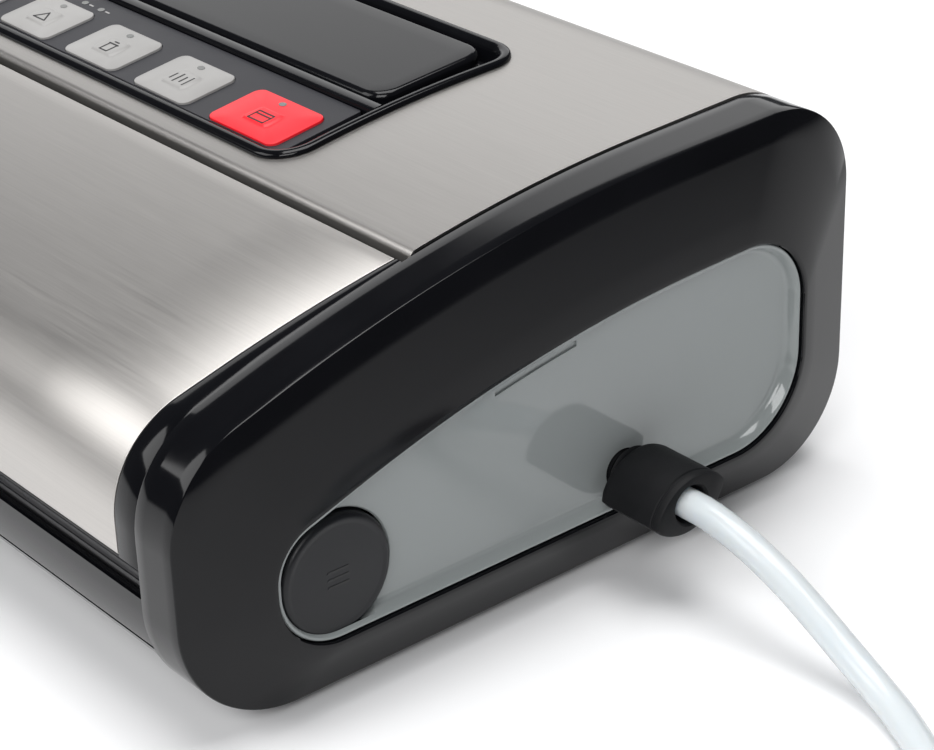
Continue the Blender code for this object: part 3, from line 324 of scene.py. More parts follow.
# %% [markdown]
# ## Building in mesh code
# Almost every moulded piece here is a loft: a stack of outlines with the same number of points,
# joined by quads. Small helpers turn outlines into an object, say which body carries it and which
# solids it stands for, cut holes, and soften edges with a bevel, because no real edge is a knife.
# A slot's finish has the slot's own name unless SLOT_FINISH gives another.

# %% Mesh helpers
SLOT_FINISH = {
    "steel": "brushed_steel", "gloss_black": "polished_black", "charcoal": "tray_charcoal",
    "silicone": "milky_silicone", "motor_metal": "zinc", "tape": "glass_tape",
}


def settle(thing, body, slot, *stands_for, look=None):
    """Gives a piece its body, the solids that it stands for, and its slot's finish or one of its own."""
    thing.data.materials.clear()
    thing.data.materials.append(FINISHES[look or SLOT_FINISH.get(slot, slot)])
    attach(thing, body)
    if stands_for:
        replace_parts(thing, *stands_for)
    return thing


def in_scene(name, data):
    """Puts a mesh, a curve or a light into the scene."""
    thing = bpy.data.objects.new(name, data)
    bpy.context.scene.collection.objects.link(thing)
    return thing


def object_from(name, bm, sharp=38.0):
    bmesh.ops.recalc_face_normals(bm, faces=bm.faces)
    mesh = bpy.data.meshes.new(name)
    bm.to_mesh(mesh)
    bm.free()
    mesh.shade_smooth()
    mesh.set_sharp_from_angle(angle=math.radians(sharp))
    return in_scene(name, mesh)


def loft(name, rings, sharp=38.0):
    bm = bmesh.new()
    add_loft(bm, rings)
    return object_from(name, bm, sharp)


def add_loft(bm, rings):
    """Joins rings that have the same number of points, and caps both ends."""
    rows = [[bm.verts.new(point) for point in ring] for ring in rings]
    count = len(rows[0])
    for row, following in zip(rows, rows[1:]):
        for i in range(count):
            j = (i + 1) % count
            bm.faces.new((row[i], row[j], following[j], following[i]))
    bm.faces.new(rows[0][::-1])
    bm.faces.new(rows[-1])


def along_x(outline, places):
    """The same (y, z) outline at several x."""
    return [[(x, y, z) for y, z in outline] for x in places]


def along_z(outline, places):
    """The same (x, y) outline at several heights."""
    return [[(x, y, z) for x, y in outline] for z in places]


def rectangle(x0, y0, x1, y1):
    return (x0, y0), (x0, y1), (x1, y1), (x1, y0)


def soften(thing, width, segments=3, angle=30.0):
    change = thing.modifiers.new("soft_edges", "BEVEL")
    change.width = width
    change.segments = segments
    change.limit_method = "ANGLE"
    change.angle_limit = math.radians(angle)


def cut(thing, cutters, sharp=38.0):
    """Cuts closed pieces out of a piece, and keeps only the result."""
    for cutter in cutters:
        change = thing.modifiers.new("cut", "BOOLEAN")
        change.object = cutter
        change.operation = "DIFFERENCE"
        change.solver = "EXACT"
    bpy.context.view_layer.update()
    shape = bpy.data.meshes.new_from_object(thing.evaluated_get(bpy.context.evaluated_depsgraph_get()))
    thing.modifiers.clear()
    thing.data = shape
    shape.shade_smooth()
    shape.set_sharp_from_angle(angle=math.radians(sharp))
    for cutter in cutters:
        bpy.data.objects.remove(cutter)
    return thing


def revolved(name, profile, start, axis, steps=64, sharp=38.0):
    """A turned piece: (distance along the axis, radius) pairs, spun round it."""
    turn = Vector((0, 0, 1)).rotation_difference(Vector(axis)).to_matrix()
    rings = []
    for along, radius in profile:
        ring = [Vector((radius * math.cos(a), radius * math.sin(a), along))
                for a in (2 * math.pi * i / steps for i in range(steps))]
        rings.append([Vector(start) + turn @ point for point in ring])
    return loft(name, rings, sharp=sharp)


def arc(before, corner, after, radius, steps):
    """The arc that rounds a corner between its two neighbours."""
    here = Vector(corner)
    u, v = (Vector(before) - here).normalized(), (Vector(after) - here).normalized()
    half = math.acos(max(-1.0, min(1.0, u.dot(v)))) / 2
    centre = here + (u + v).normalized() * radius / math.sin(half)
    first = here + u * radius / math.tan(half) - centre
    last = here + v * radius / math.tan(half) - centre
    turn = math.atan2(first.x * last.y - first.y * last.x, first.dot(last))
    return [tuple(centre + Matrix.Rotation(turn * step / steps, 2) @ first) for step in range(steps + 1)]


def rounded(corners, radii, steps):
    """A closed outline with an arc of its own radius at each corner."""
    points = []
    for i, (corner, radius) in enumerate(zip(corners, radii)):
        points += arc(corners[i - 1], corner, corners[(i + 1) % len(corners)], radius, steps)
    return points


print("helpers ready")

# %% [markdown]
# ## The hose
# A free hose is a fixed length of something springy. It leaves the plug level, droops in one sweep
# and lies along the worktop; what isn't in use is wound into a neat coil beside the machine, with
# the connector for jars on top. One open spline carries the whole of it, so that its length is real.

# %% Hose route
HOSE_RADIUS = 0.0042
HOSE_BORE = 0.0019
HOSE_FLOOR = HOSE_RADIUS + 0.0004
PLUG_LOW, PLUG_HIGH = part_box("hose_plug")
TIP_LOW, TIP_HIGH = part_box("hose_tip")
TIP_Z = (TIP_LOW[2] + TIP_HIGH[2]) / 2
PORT_Y = 0.0270
PORT_Z = 0.0287
HOSE_START_X = PLUG_HIGH[0] - 0.012
HOSE_ROUTE = (
    (HOSE_START_X, PORT_Y, PORT_Z), (HOSE_START_X + 0.010, PORT_Y, PORT_Z),
    (0.2345, 0.0270, 0.0286), (0.2430, 0.0271, 0.0272), (0.2525, 0.0272, 0.0246),
    (0.2630, 0.0272, 0.0207), (0.2745, 0.0270, 0.0153), (0.2855, 0.0264, 0.0102),
    (0.2960, 0.0250, 0.0065), (0.3060, 0.0221, 0.0049), (0.3160, 0.0174, HOSE_FLOOR),
    (0.3260, 0.0121, HOSE_FLOOR), (0.3355, 0.0070, HOSE_FLOOR), (0.3448, 0.0021, HOSE_FLOOR),
)
COIL_CENTRE = Vector((0.371, 0.053))
OUTER_TURN = 0.0488
INNER_TURN = 0.0402
TOP_TURN = 0.0445
STEP_UP = 2.03 * HOSE_RADIUS

arrival = Vector(HOSE_ROUTE[-1][:2]) - COIL_CENTRE
first_angle = math.atan2(arrival.y, arrival.x)
last_turn = 2 + (-first_angle / (2 * math.pi)) % 1.0


def ease(value, start, end):
    share = max(0.0, min(1.0, (value - start) / (end - start)))
    return share * share * (3 - 2 * share)


def coil_point(turns):
    """One turn outside, one inside, then the end lies on top of both."""
    radius = arrival.length + (OUTER_TURN - arrival.length) * ease(turns, 0.0, 0.35)
    radius += (INNER_TURN - OUTER_TURN) * ease(turns, 0.72, 0.98)
    radius += (TOP_TURN - INNER_TURN) * ease(turns, 2.02, 2.2)
    height = HOSE_FLOOR + STEP_UP * ease(turns, 1.46, 1.70)
    height += (TIP_Z - HOSE_FLOOR - STEP_UP) * ease(turns, last_turn - 0.32, last_turn)
    angle = first_angle + 2 * math.pi * turns
    return (COIL_CENTRE.x + radius * math.cos(angle), COIL_CENTRE.y + radius * math.sin(angle), height)


def hose_line():
    points = [Vector(point) for point in HOSE_ROUTE]
    count = int(last_turn * 16)
    points += [Vector(coil_point(last_turn * i / count)) for i in range(1, count + 1)]
    points.append(Vector((COIL_CENTRE.x + TOP_TURN, TIP_LOW[1] + 0.008, TIP_Z)))
    return points


def smooth_line(points, spacing):
    """Even points along a Catmull-Rom curve through the given ones."""
    dense = []
    for i in range(len(points) - 1):
        p0 = points[max(i - 1, 0)]
        p1, p2 = points[i], points[i + 1]
        p3 = points[min(i + 2, len(points) - 1)]
        for k in range(12):
            t = k / 12
            dense.append(0.5 * ((2 * p1) + (p2 - p0) * t + (2 * p0 - 5 * p1 + 4 * p2 - p3) * t * t
                                + (3 * p1 - p0 - 3 * p2 + p3) * t ** 3))
    dense.append(points[-1])
    total = sum((b - a).length for a, b in zip(dense, dense[1:]))
    count = max(2, round(total / spacing))
    even, gone, k = [dense[0]], 0.0, 0
    for n in range(1, count):
        while gone + (dense[k + 1] - dense[k]).length < total * n / count:
            gone += (dense[k + 1] - dense[k]).length
            k += 1
        step = dense[k + 1] - dense[k]
        even.append(dense[k] + step * ((total * n / count - gone) / step.length))
    even.append(dense[-1])
    return even, total


POINT_SPACING = 0.004
hose_points, hose_length = smooth_line(hose_line(), POINT_SPACING)
print("hose:", len(hose_points), "points,", round(hose_length, 4), "m,", round(last_turn, 2), "turns")

# %% [markdown]
# The milky wall and the bore inside it are two curves on the same line: the bore is a hair paler and
# shows through as a soft streak. The plug is a lens-shaped rubber moulding on a round neck, with a
# raised lip round its end and a bore that is wider than the hose.

# %% Hose, bore, plug and connector
def tube_curve(name, points, radius):
    data = bpy.data.curves.new(name, "CURVE")
    data.dimensions = "3D"
    data.bevel_depth = radius
    data.bevel_resolution = 6
    data.use_fill_caps = True
    spline = data.splines.new("POLY")
    spline.points.add(len(points) - 1)
    for point, place in zip(spline.points, points):
        point.co = (*place, 1.0)
    spline.use_smooth = True
    return in_scene(name, data)


hose = settle(tube_curve("hose_wall", hose_points, HOSE_RADIUS), "hose", "silicone",
              "accessory_hose", "hose_coil")
bore = settle(tube_curve("hose_bore", hose_points[1:-1], HOSE_BORE), "hose", "silicone", look="hose_bore")

PLUG_HALF_WIDTH = 0.0128
PLUG_HALF_HEIGHT = 0.0078
PLUG_TILT = 16.0
PLUG_BORE = 0.0054
PLUG_END_X = PLUG_HIGH[0]
BARREL_LENGTH = 0.0225
BARREL_X = PLUG_END_X - BARREL_LENGTH
LENS_TIP = 0.0012
NECK_RADIUS = 0.0055


def lens_outline(shrink, steps=26):
    """Two arcs with small round tips, turned by the plug's tilt."""
    width, height = PLUG_HALF_WIDTH - shrink, PLUG_HALF_HEIGHT - shrink
    radius = (width * width + height * height) / (2 * height)
    reach = math.asin((width - LENS_TIP) / radius)
    points = []
    for side in (1, -1):
        arc = []
        for i in range(steps + 1):
            angle = reach * (1 - 2 * i / steps) * side
            arc.append((-radius * math.sin(angle), side * (radius * math.cos(angle) - radius + height)))
        points += arc
        end = Vector(arc[-1])
        points.append((end.x + side * LENS_TIP * 0.75, 0.0))
    turn = Matrix.Rotation(math.radians(PLUG_TILT), 2)
    return [turn @ Vector(point) for point in points]


def make_plug():
    """Stations are (x, how far the outline is drawn in), from the neck's side to the lip at the end."""
    stations = [(BARREL_X + along, shrink) for along, shrink in
                ((0.0, 0.0016), (0.0002, 0.0009), (0.0008, 0.0002), (0.0016, 0.0))]
    stations += [(PLUG_END_X - back, shrink) for back, shrink in
                 ((0.0034, 0.0), (0.0031, 0.0003), (0.0027, 0.0003), (0.0024, 0.0), (0.0007, 0.0),
                  (0.0002, 0.0003), (0.0, 0.0009))]
    rings = [[(x, PORT_Y + p.x, PORT_Z + p.y) for p in lens_outline(shrink)] for x, shrink in stations]
    plug = loft("plug_body", rings, sharp=50.0)
    flare = PLUG_BORE + 0.0008
    cutter = revolved("bore_cut", ((0.0, PLUG_BORE), (0.0118, PLUG_BORE), (0.0126, flare), (0.014, flare)),
                      (PLUG_END_X - 0.0125, PORT_Y, PORT_Z), (1, 0, 0), 48)
    cut(plug, [cutter])
    settle(plug, "hose", "rubber", "hose_plug")
    profile = [(along, NECK_RADIUS + more) for along, more in
               ((0.0, -0.0006), (0.0004, 0.0), (0.0016, 0.0), (0.0018, 0.0018), (0.0024, 0.0024),
                (0.0030, 0.0018), (0.0032, 0.0004), (0.0075, 0.0004))]
    neck = revolved("plug_neck", profile, (PLUG_LOW[0], PORT_Y, PORT_Z), (1, 0, 0), 48)
    settle(neck, "hose", "rubber")
    return plug, neck


plug, neck = make_plug()
tip_radius = (TIP_HIGH[0] - TIP_LOW[0]) / 2
tip_length = TIP_HIGH[1] - TIP_LOW[1]


def make_tip():
    """The connector: a collar, five grip rings and a tapered nose, as (distance, how much less radius)."""
    profile = [(0.0, 0.0012), (0.0006, 0.0004), (0.0014, 0.0)]
    for i in range(5):
        start = 0.0030 + i * 0.0022
        profile += [(start, 0.0), (start + 0.0004, 0.0005), (start + 0.0010, 0.0005), (start + 0.0014, 0.0)]
    profile += [(0.0142, 0.0), (0.0150, 0.0012), (tip_length - 0.0010, 0.0024), (tip_length, 0.0032)]
    middle = (TIP_LOW[0] + TIP_HIGH[0]) / 2
    tip = revolved("jar_connector", [(along, tip_radius - less) for along, less in profile],
                   (middle, TIP_LOW[1], TIP_Z), (0, 1, 0), 48)
    return settle(tip, "hose", "rubber", "hose_tip")


tip = make_tip()
print("plug at", [round(v, 4) for v in PLUG_HIGH], "connector", round(tip_length, 4), "m long")

# %% [markdown]
# ## Worktop and light
# The machine stands on a plain pale sheet that runs on behind it. One broad soft light hangs
# overhead. Polished black and steel show what they mirror, so a low card of light stands behind the
# far end and two fills stand in front, while the rest of the room stays darker than the worktop.

# %% Worktop and light
def make_floor():
    bm = bmesh.new()
    bmesh.ops.create_grid(bm, x_segments=24, y_segments=24, size=6.0)
    floor = object_from("worktop", bm)
    tree, shader = finish("pale_worktop", (0.93, 0.93, 0.935), 0.55)
    paint(tree, shader, grain(tree, 2.0), (0.92, 0.92, 0.925), (0.94, 0.94, 0.945))
    floor.data.materials.append(FINISHES["pale_worktop"])


def soft_light(name, place, aim, width, height, watts):
    data = bpy.data.lights.new(name, "AREA")
    data.shape = "RECTANGLE"
    data.size = width
    data.size_y = height
    data.energy = watts
    light = in_scene(name, data)
    light.location = place
    light.rotation_euler = (Vector(aim) - Vector(place)).to_track_quat("-Z", "Y").to_euler()


make_floor()
room = bpy.data.worlds.new("room")
bpy.context.scene.world = room
room.use_nodes = True
backdrop = room.node_tree.nodes["Background"]
backdrop.inputs["Color"].default_value = (0.80, 0.83, 0.90, 1.0)
backdrop.inputs["Strength"].default_value = 0.10
bpy.context.scene.view_settings.view_transform = "Standard"
soft_light("overhead", (0.0, 0.15, 2.1), (0.05, 0.1, 0.0), 1.5, 1.5, 42.0)
soft_light("back_card", (-1.35, 1.0, 0.85), (0.0, 0.0, 0.1), 2.0, 0.9, 7.0)
soft_light("front_fill", (1.6, -1.9, 1.7), (0.15, 0.0, 0.05), 1.8, 1.4, 50.0)
soft_light("left_fill", (-1.0, -1.7, 1.5), (0.0, -0.1, 0.0), 1.6, 1.2, 22.0)

# %% [markdown]
# ## The side outline
# Everything that runs the length of the machine shares one side outline: an upright front, a round
# nose, a slope up to a flat top, and a round back. It is given by five corners and their radii, and
# each skin is the same outline moved in by its own depth.

# %% Side outline
CAP_LOW, CAP_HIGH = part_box("end_cap_right")
FRONT, REAR, BOTTOM = CAP_LOW[1], CAP_HIGH[1], CAP_LOW[2]
CAP_INNER_X, RIM_X = CAP_LOW[0], CAP_HIGH[0]
FACE_SLOPE_X = 0.007
EDGE_X = RIM_X - FACE_SLOPE_X
NOSE_Z = BOTTOM + 0.0744
SHOULDER = (FRONT + 0.0965, BOTTOM + 0.1062)
TOP_Z = BOTTOM + 0.1114
GAP = 0.0003
SHEET = 0.0008
OUTLINE_RADII = (0.033, 0.030, 0.480, 0.027, 0.030)
RIM_INSETS = (0.0236, 0.031, 0.030, 0.0218, 0.0155)
RIM_RADII = (0.020, 0.016, 0.420, 0.022, 0.026)
ARC = 22


def outline_corners(insets):
    """The five corners, after each edge has moved inwards by its own inset."""
    corners = [Vector(place) for place in
               ((FRONT, BOTTOM), (FRONT, NOSE_Z), SHOULDER, (REAR, TOP_Z), (REAR, BOTTOM))]
    lines = []
    for i, inset in enumerate(insets):
        run = (corners[(i + 1) % 5] - corners[i]).normalized()
        lines.append((corners[i] + Vector((run.y, -run.x)) * inset, run))
    moved = []
    for i in range(5):
        (a, u), (b, v) = lines[i - 1], lines[i]
        reach = ((b - a).x * v.y - (b - a).y * v.x) / (u.x * v.y - u.y * v.x)
        moved.append(tuple(a + u * reach))
    return moved


def side_outline(inset=0.0, steps=ARC):
    return rounded(outline_corners((inset,) * 5), [radius - inset for radius in OUTLINE_RADII], steps)


def rim_outline(shrink):
    return rounded(outline_corners([inset + shrink for inset in RIM_INSETS]),
                   [radius - shrink for radius in RIM_RADII], ARC)


def kept_run(outline, inside):
    """The one run of a closed outline where inside(y, z) is above zero, cut exactly at its ends."""
    values = [inside(*point) for point in outline]
    count = len(outline)
    start = next(i for i in range(count) if values[i - 1] <= 0 < values[i])

    def crossing(i, j):
        share = values[i] / (values[i] - values[j])
        return tuple(Vector(outline[i]).lerp(Vector(outline[j]), share))

    run, i = [crossing(start - 1, start)], start
    while values[i % count] > 0:
        run.append(outline[i % count])
        i += 1
    run.append(crossing((i - 1) % count, i % count))
    return run


def top_at(y):
    points = side_outline()
    edges = zip(points, points[1:] + points[:1])
    return max(z0 + (z1 - z0) * (y - y0) / (y1 - y0) for (y0, z0), (y1, z1) in edges
               if min(y0, y1) <= y <= max(y0, y1) and y0 != y1)


print("outline", len(side_outline()), "points; top at the middle", round(top_at(0.0), 4))

# %% [markdown]
# ## The steel skins
# Both skins are one bent sheet each. The rear one folds down at its front edge, and the front one
# curls under at the bag slot. The fold has a real inside radius, which catches a line of light that a
# sharp edge would not. A sheet is drawn as a surface, then given its thickness by Solidify.

# %% Steel sheets
def fillet(path, radius):
    """Rounds the first bend of an open path."""
    return path[:1] + arc(*path[:3], radius, 6) + path[2:]


def bent_sheet(name, path, half_at, columns=9):
    """A sheet along a (y, z) path, as wide at each place as half_at says, with its thickness outside."""
    bm = bmesh.new()
    rows = []
    for place in path:
        half = half_at(place)
        rows.append([bm.verts.new((half * (2 * i / (columns - 1) - 1), *place)) for i in range(columns)])
    for row, following in zip(rows, rows[1:]):
        for i in range(columns - 1):
            bm.faces.new((row[i], following[i], following[i + 1], row[i + 1]))
    mesh = bpy.data.meshes.new(name)
    bm.to_mesh(mesh)
    bm.free()
    mesh.shade_smooth()
    thing = in_scene(name, mesh)
    change = thing.modifiers.new("thickness", "SOLIDIFY")
    change.thickness = SHEET
    change.offset = 1.0
    change.use_even_offset = True
    return thing


COVER_LOW, COVER_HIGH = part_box("housing_cover")
HOUSING_FRONT, COVER_HALF = COVER_LOW[1], COVER_HIGH[0]
SKIRT_HEIGHT = 0.080
FOLD_HEIGHT = 0.0054
FOLD_RADIUS = 0.0020
PANEL_LOW, PANEL_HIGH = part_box("control_bezel")
PANEL_FRONT, PANEL_REAR, PANEL_HALF = PANEL_LOW[1], PANEL_HIGH[1], PANEL_HIGH[0]
PANEL_RADIUS = 0.012
LIP_WIDTH = 0.0032


def panel_outline(inset, steps=8):
    half = PANEL_HALF - inset
    corners = rectangle(-half, PANEL_FRONT + inset, half, PANEL_REAR - inset)
    return rounded(corners, (PANEL_RADIUS - inset,) * 4, steps)


def make_housing_sheet():
    run = kept_run(side_outline(), lambda y, z: min(y - HOUSING_FRONT, z - BOTTOM - SKIRT_HEIGHT))
    path = fillet([(HOUSING_FRONT, run[0][1] - FOLD_HEIGHT)] + run, FOLD_RADIUS)
    cover = bent_sheet("housing_skin", path, lambda place: COVER_HALF)
    cut(cover, [loft("opening", along_z(panel_outline(LIP_WIDTH), (0.05, 0.15)))])
    soften(cover, 0.00022, 2, 50.0)
    return settle(cover, "base", "steel", "housing_cover")


LID_LOW, LID_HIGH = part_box("lid_cover")
LID_REAR = LID_HIGH[1]
LID_BOTTOM = LID_LOW[2]
LID_OUT = 0.0010
LID_END_FRONT = 0.174
LID_END_REAR = 0.1805
CURL_RADIUS = 0.0009


def lid_half(place):
    """Half the steel's width at a (y, z) place: it widens towards the back."""
    return LID_END_FRONT + (LID_END_REAR - LID_END_FRONT) * (place[0] - FRONT) / (LID_REAR - FRONT)


def lid_run():
    return kept_run(side_outline(LID_OUT), lambda y, z: min(LID_REAR - y, z - LID_BOTTOM))


def make_lid_sheet():
    path = lid_run()
    y, z = path[0]
    path = fillet([(y + 0.0030, z + 0.0004)] + path, CURL_RADIUS)
    cover = bent_sheet("lid_skin", path, lid_half)
    soften(cover, 0.0002, 2, 50.0)
    return settle(cover, "lid", "steel", "lid_cover")


housing_skin = make_housing_sheet()
lid_skin = make_lid_sheet()
print("housing skin", len(housing_skin.data.vertices), "vertices; lid skin", len(lid_skin.data.vertices))

# %% [markdown]
# ## End caps
# Each cap is one polished moulding: a band that carries on the side outline, a crisp edge, and a face
# that slopes out to the rim of the grey panel. The edge is a real but tiny radius, so it draws a thin
# white line. The outline has the same number of points at every station, so a loft joins them.

# %% End caps
WALL = 0.0025
RIM_LAND = 0.0012
PIN_LOW, PIN_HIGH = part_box("hinge_pin_right")
PIN_Y, PIN_Z = (PIN_LOW[1] + PIN_HIGH[1]) / 2, (PIN_LOW[2] + PIN_HIGH[2]) / 2
PIN_HOLE = 0.0018
STEM_HOLE = 0.0040
TUBE_HOLE = 0.0045
BUTTON_LOW, BUTTON_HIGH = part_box("release_button_right")
BUTTON_RADIUS = (BUTTON_HIGH[1] - BUTTON_LOW[1]) / 2
BUTTON_Y = (BUTTON_LOW[1] + BUTTON_HIGH[1]) / 2
BUTTON_Z = (BUTTON_LOW[2] + BUTTON_HIGH[2]) / 2


def make_cap(side, sign):
    """Outlines from the inner edge over the band and the face to the rim, and back inside."""
    outer, rim = side_outline(), rim_outline(0.0)
    stations = [(CAP_INNER_X, side_outline(0.0004)), (CAP_INNER_X + 0.0001, side_outline(0.00012)),
                (CAP_INNER_X + 0.0004, outer)]
    stations += [(CAP_INNER_X + (EDGE_X - CAP_INNER_X) * share, outer) for share in (0.25, 0.5, 0.75)]
    stations += [(EDGE_X - 0.00045, outer), (EDGE_X - 0.00013, side_outline(0.0001))]
    for share in (0.012, 0.25, 0.5, 0.75, 0.985):
        blend = [tuple(Vector(a).lerp(Vector(b), share)) for a, b in zip(outer, rim)]
        stations.append((EDGE_X + (RIM_X - EDGE_X) * share, blend))
    stations += [
        (RIM_X, rim_outline(0.0003)), (RIM_X, rim_outline(RIM_LAND - 0.0003)),
        (RIM_X - 0.0003, rim_outline(RIM_LAND)), (RIM_X - 0.0030, rim_outline(RIM_LAND)),
        (RIM_X - 0.0030, rim_outline(-0.004)), (EDGE_X - WALL, side_outline(WALL)),
        (CAP_INNER_X + WALL, side_outline(WALL)),
    ]
    rings = [[(sign * x, y, z) for y, z in outline] for x, outline in stations]
    cap = loft(f"cap_{side}", rings, sharp=28.0)
    start = sign * (CAP_INNER_X - WALL)
    holes = [(PIN_Y, PIN_Z, PIN_HOLE), (BUTTON_Y, BUTTON_Z, STEM_HOLE)]
    if sign > 0:
        holes.append((PORT_Y, PORT_Z, TUBE_HOLE))
    cutters = [revolved("hole", ((0.0, radius), (3 * WALL, radius)), (start, y, z), (sign, 0, 0), 32)
               for y, z, radius in holes]
    cut(cap, cutters, 28.0)
    return settle(cap, "base", "gloss_black", f"end_cap_{side}")


caps = [make_cap("right", 1), make_cap("left", -1)]
print("cap:", len(caps[0].data.vertices), "vertices")

# %% [markdown]
# ## Grey side panels
# A panel is a shallow dish pressed into the cap's rim: a pale lip, walls that lean out for the mould,
# a small radius all round the floor, and a slim groove under its top edge. The round button and, on
# one side, the hose port come through it.

# %% Side panels
PANEL_DEPTH = 0.0045
PANEL_X = RIM_X - PANEL_DEPTH
PORT_HOLE = 0.0060


def make_side_panel(side, sign):
    lip = RIM_LAND + GAP
    stations = (
        (PANEL_X - WALL, lip), (RIM_X - 0.0013, lip), (RIM_X - 0.0010, lip + 0.0003),
        (RIM_X - 0.0010, lip + 0.0008), (RIM_X - 0.0012, lip + 0.0011), (PANEL_X + 0.0012, lip + 0.0021),
        (PANEL_X + 0.0005, lip + 0.0024), (PANEL_X + 0.0001, lip + 0.0031), (PANEL_X, lip + 0.0040),
    )
    rings = [[(sign * x, y, z) for y, z in rim_outline(shrink)] for x, shrink in stations]
    panel = loft(f"grey_panel_{side}", rings, sharp=40.0)
    deep = sign * (PANEL_X - 2 * WALL)
    snug, wide = BUTTON_RADIUS + 0.0006, BUTTON_RADIUS + 0.0014
    chamfer = ((0.0, snug), (2 * WALL - 0.0004, snug), (2 * WALL + 0.0004, wide), (3 * WALL, wide))
    cutters = [revolved("button_hole", chamfer, (deep, BUTTON_Y, BUTTON_Z), (sign, 0, 0), 96)]
    if sign > 0:
        bore = ((0.0, PORT_HOLE), (3 * WALL, PORT_HOLE))
        cutters.append(revolved("port_hole", bore, (deep, PORT_Y, PORT_Z), (1, 0, 0), 48))
    cutters.append(make_groove(sign))
    cut(panel, cutters)
    return settle(panel, "base", "panel_grey", f"side_panel_{side}")


GROOVE_SPAN = (-0.0165, 0.0110)
GROOVE_INSET = 0.0058
GROOVE_WIDTH = 0.0017
GROOVE_DEPTH = 0.0006


def make_groove(sign):
    """A slim slot just inside the upper edge of the panel's floor, over the middle of its length."""
    def run(inset):
        return kept_run(rim_outline(inset),
                        lambda y, z: min(y - GROOVE_SPAN[0], GROOVE_SPAN[1] - y, z - 0.05))

    outline = run(GROOVE_INSET) + run(GROOVE_INSET + GROOVE_WIDTH)[::-1]
    return loft("groove", along_x(outline, (sign * (PANEL_X - GROOVE_DEPTH), sign * (PANEL_X + 0.002))))


panels = [make_side_panel("right", 1), make_side_panel("left", -1)]
print("side panel:", len(panels[0].data.vertices), "vertices")

# %% [markdown]
# ## Release buttons
# Pressed together, the two buttons free the lid. Each is a satin disc with a rounded shoulder and a
# barely domed face, with three slim dark lines that lie across its middle.

# %% Release buttons
STEM_RADIUS = 0.0032
SHOULDER_RADIUS = 0.0018
MARK_PITCH = 0.0021
MARK_REACH = 0.0033
MARK_HALF = 0.00036


def make_button(side, sign):
    face = BUTTON_HIGH[0]
    profile = [(BUTTON_LOW[0], 0.0024), (BUTTON_LOW[0] + 0.0005, STEM_RADIUS),
               (PANEL_X - 0.0030, STEM_RADIUS), (PANEL_X - 0.0029, BUTTON_RADIUS)]
    for i in range(9):
        angle = math.radians(11.25 * i)
        profile.append((face - 0.0022 + SHOULDER_RADIUS * math.sin(angle),
                        BUTTON_RADIUS - SHOULDER_RADIUS * (1 - math.cos(angle))))
    profile += [(face - 0.0006, BUTTON_RADIUS - 0.0024), (face - 0.0006, BUTTON_RADIUS - 0.0030)]
    for share in (0.8, 0.6, 0.4, 0.2, 0.05):
        radius = (BUTTON_RADIUS - 0.0034) * share
        profile.append((face - 0.0002 - 0.0004 * share * share, radius))
    body = f"button_{side}"
    button = revolved(body, profile, (0.0, BUTTON_Y, BUTTON_Z), (sign, 0, 0), 96, 32.0)
    settle(button, body, "satin_black", f"release_button_{side}")
    bm = bmesh.new()
    for row in (-1, 0, 1):
        centre_z = BUTTON_Z + row * MARK_PITCH
        corners = rectangle(BUTTON_Y - MARK_REACH, centre_z - MARK_HALF,
                            BUTTON_Y + MARK_REACH, centre_z + MARK_HALF)
        line = rounded(corners, (MARK_HALF * 0.9,) * 4, 4)
        add_loft(bm, along_x(line, (sign * (face - 0.0012), sign * (face - 0.0001))))
    settle(object_from(f"button_bars_{side}", bm), body, "satin_black", look="print_black")


make_button("right", 1)
make_button("left", -1)
print("button radius", round(BUTTON_RADIUS, 4))

# %% [markdown]
# ## Lid trims
# Between the steel and the end cap stands a crescent of polished plastic: wide at the nose, narrow at
# the back, with rounded shoulders and a dark parting line on each side.

# %% Lid trims
TRIM_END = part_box("lid_trim_right")[1][0]
TRIM_DEPTH = 0.007


def make_trim(side, sign):
    rings = []
    path = lid_run()
    for i, place in enumerate(path):
        point = Vector(place)
        run = (Vector(path[min(i + 1, len(path) - 1)]) - Vector(path[max(i - 1, 0)])).normalized()
        inward = Vector((run.y, -run.x))
        near, far = lid_half(place) + GAP, TRIM_END
        shape = ((near, TRIM_DEPTH), (near, 0.0005), (near + 0.0002, 0.0001), (near + 0.0006, 0.0),
                 ((near + far) / 2, -0.0001), (far - 0.0012, 0.0), (far - 0.0004, 0.0003),
                 (far, 0.0010), (far, TRIM_DEPTH))
        rings.append([(sign * x, *(point + inward * deep)) for x, deep in shape])
    trim = loft(f"lid_crescent_{side}", rings, sharp=45.0)
    start = (sign * (LID_END_FRONT - 0.01), PIN_Y, PIN_Z)
    cut(trim, [revolved("pin_cut", ((0.0, PIN_HOLE), (0.03, PIN_HOLE)), start, (sign, 0, 0), 24)])
    settle(trim, "lid", "gloss_black", f"lid_trim_{side}")


make_trim("right", 1)
make_trim("left", -1)
widths = [round(TRIM_END - lid_half((y, 0)), 4) for y in (FRONT, LID_REAR)]
print("trim width at the nose and at the back:", widths)

# %% [markdown]
# ## Front of the base
# Below the lid a recessed strip carries fine ribs that grip the bag, and under it the polished tub of
# the base rolls under to the worktop, with a hairline parting line where its two mould halves met.

# %% Base tub and ribbed strip
BASE_HALF, _, BASE_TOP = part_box("base_shell")[1]
BASE_OUT = 0.0010
PARTING_Z = BOTTOM + 0.0185


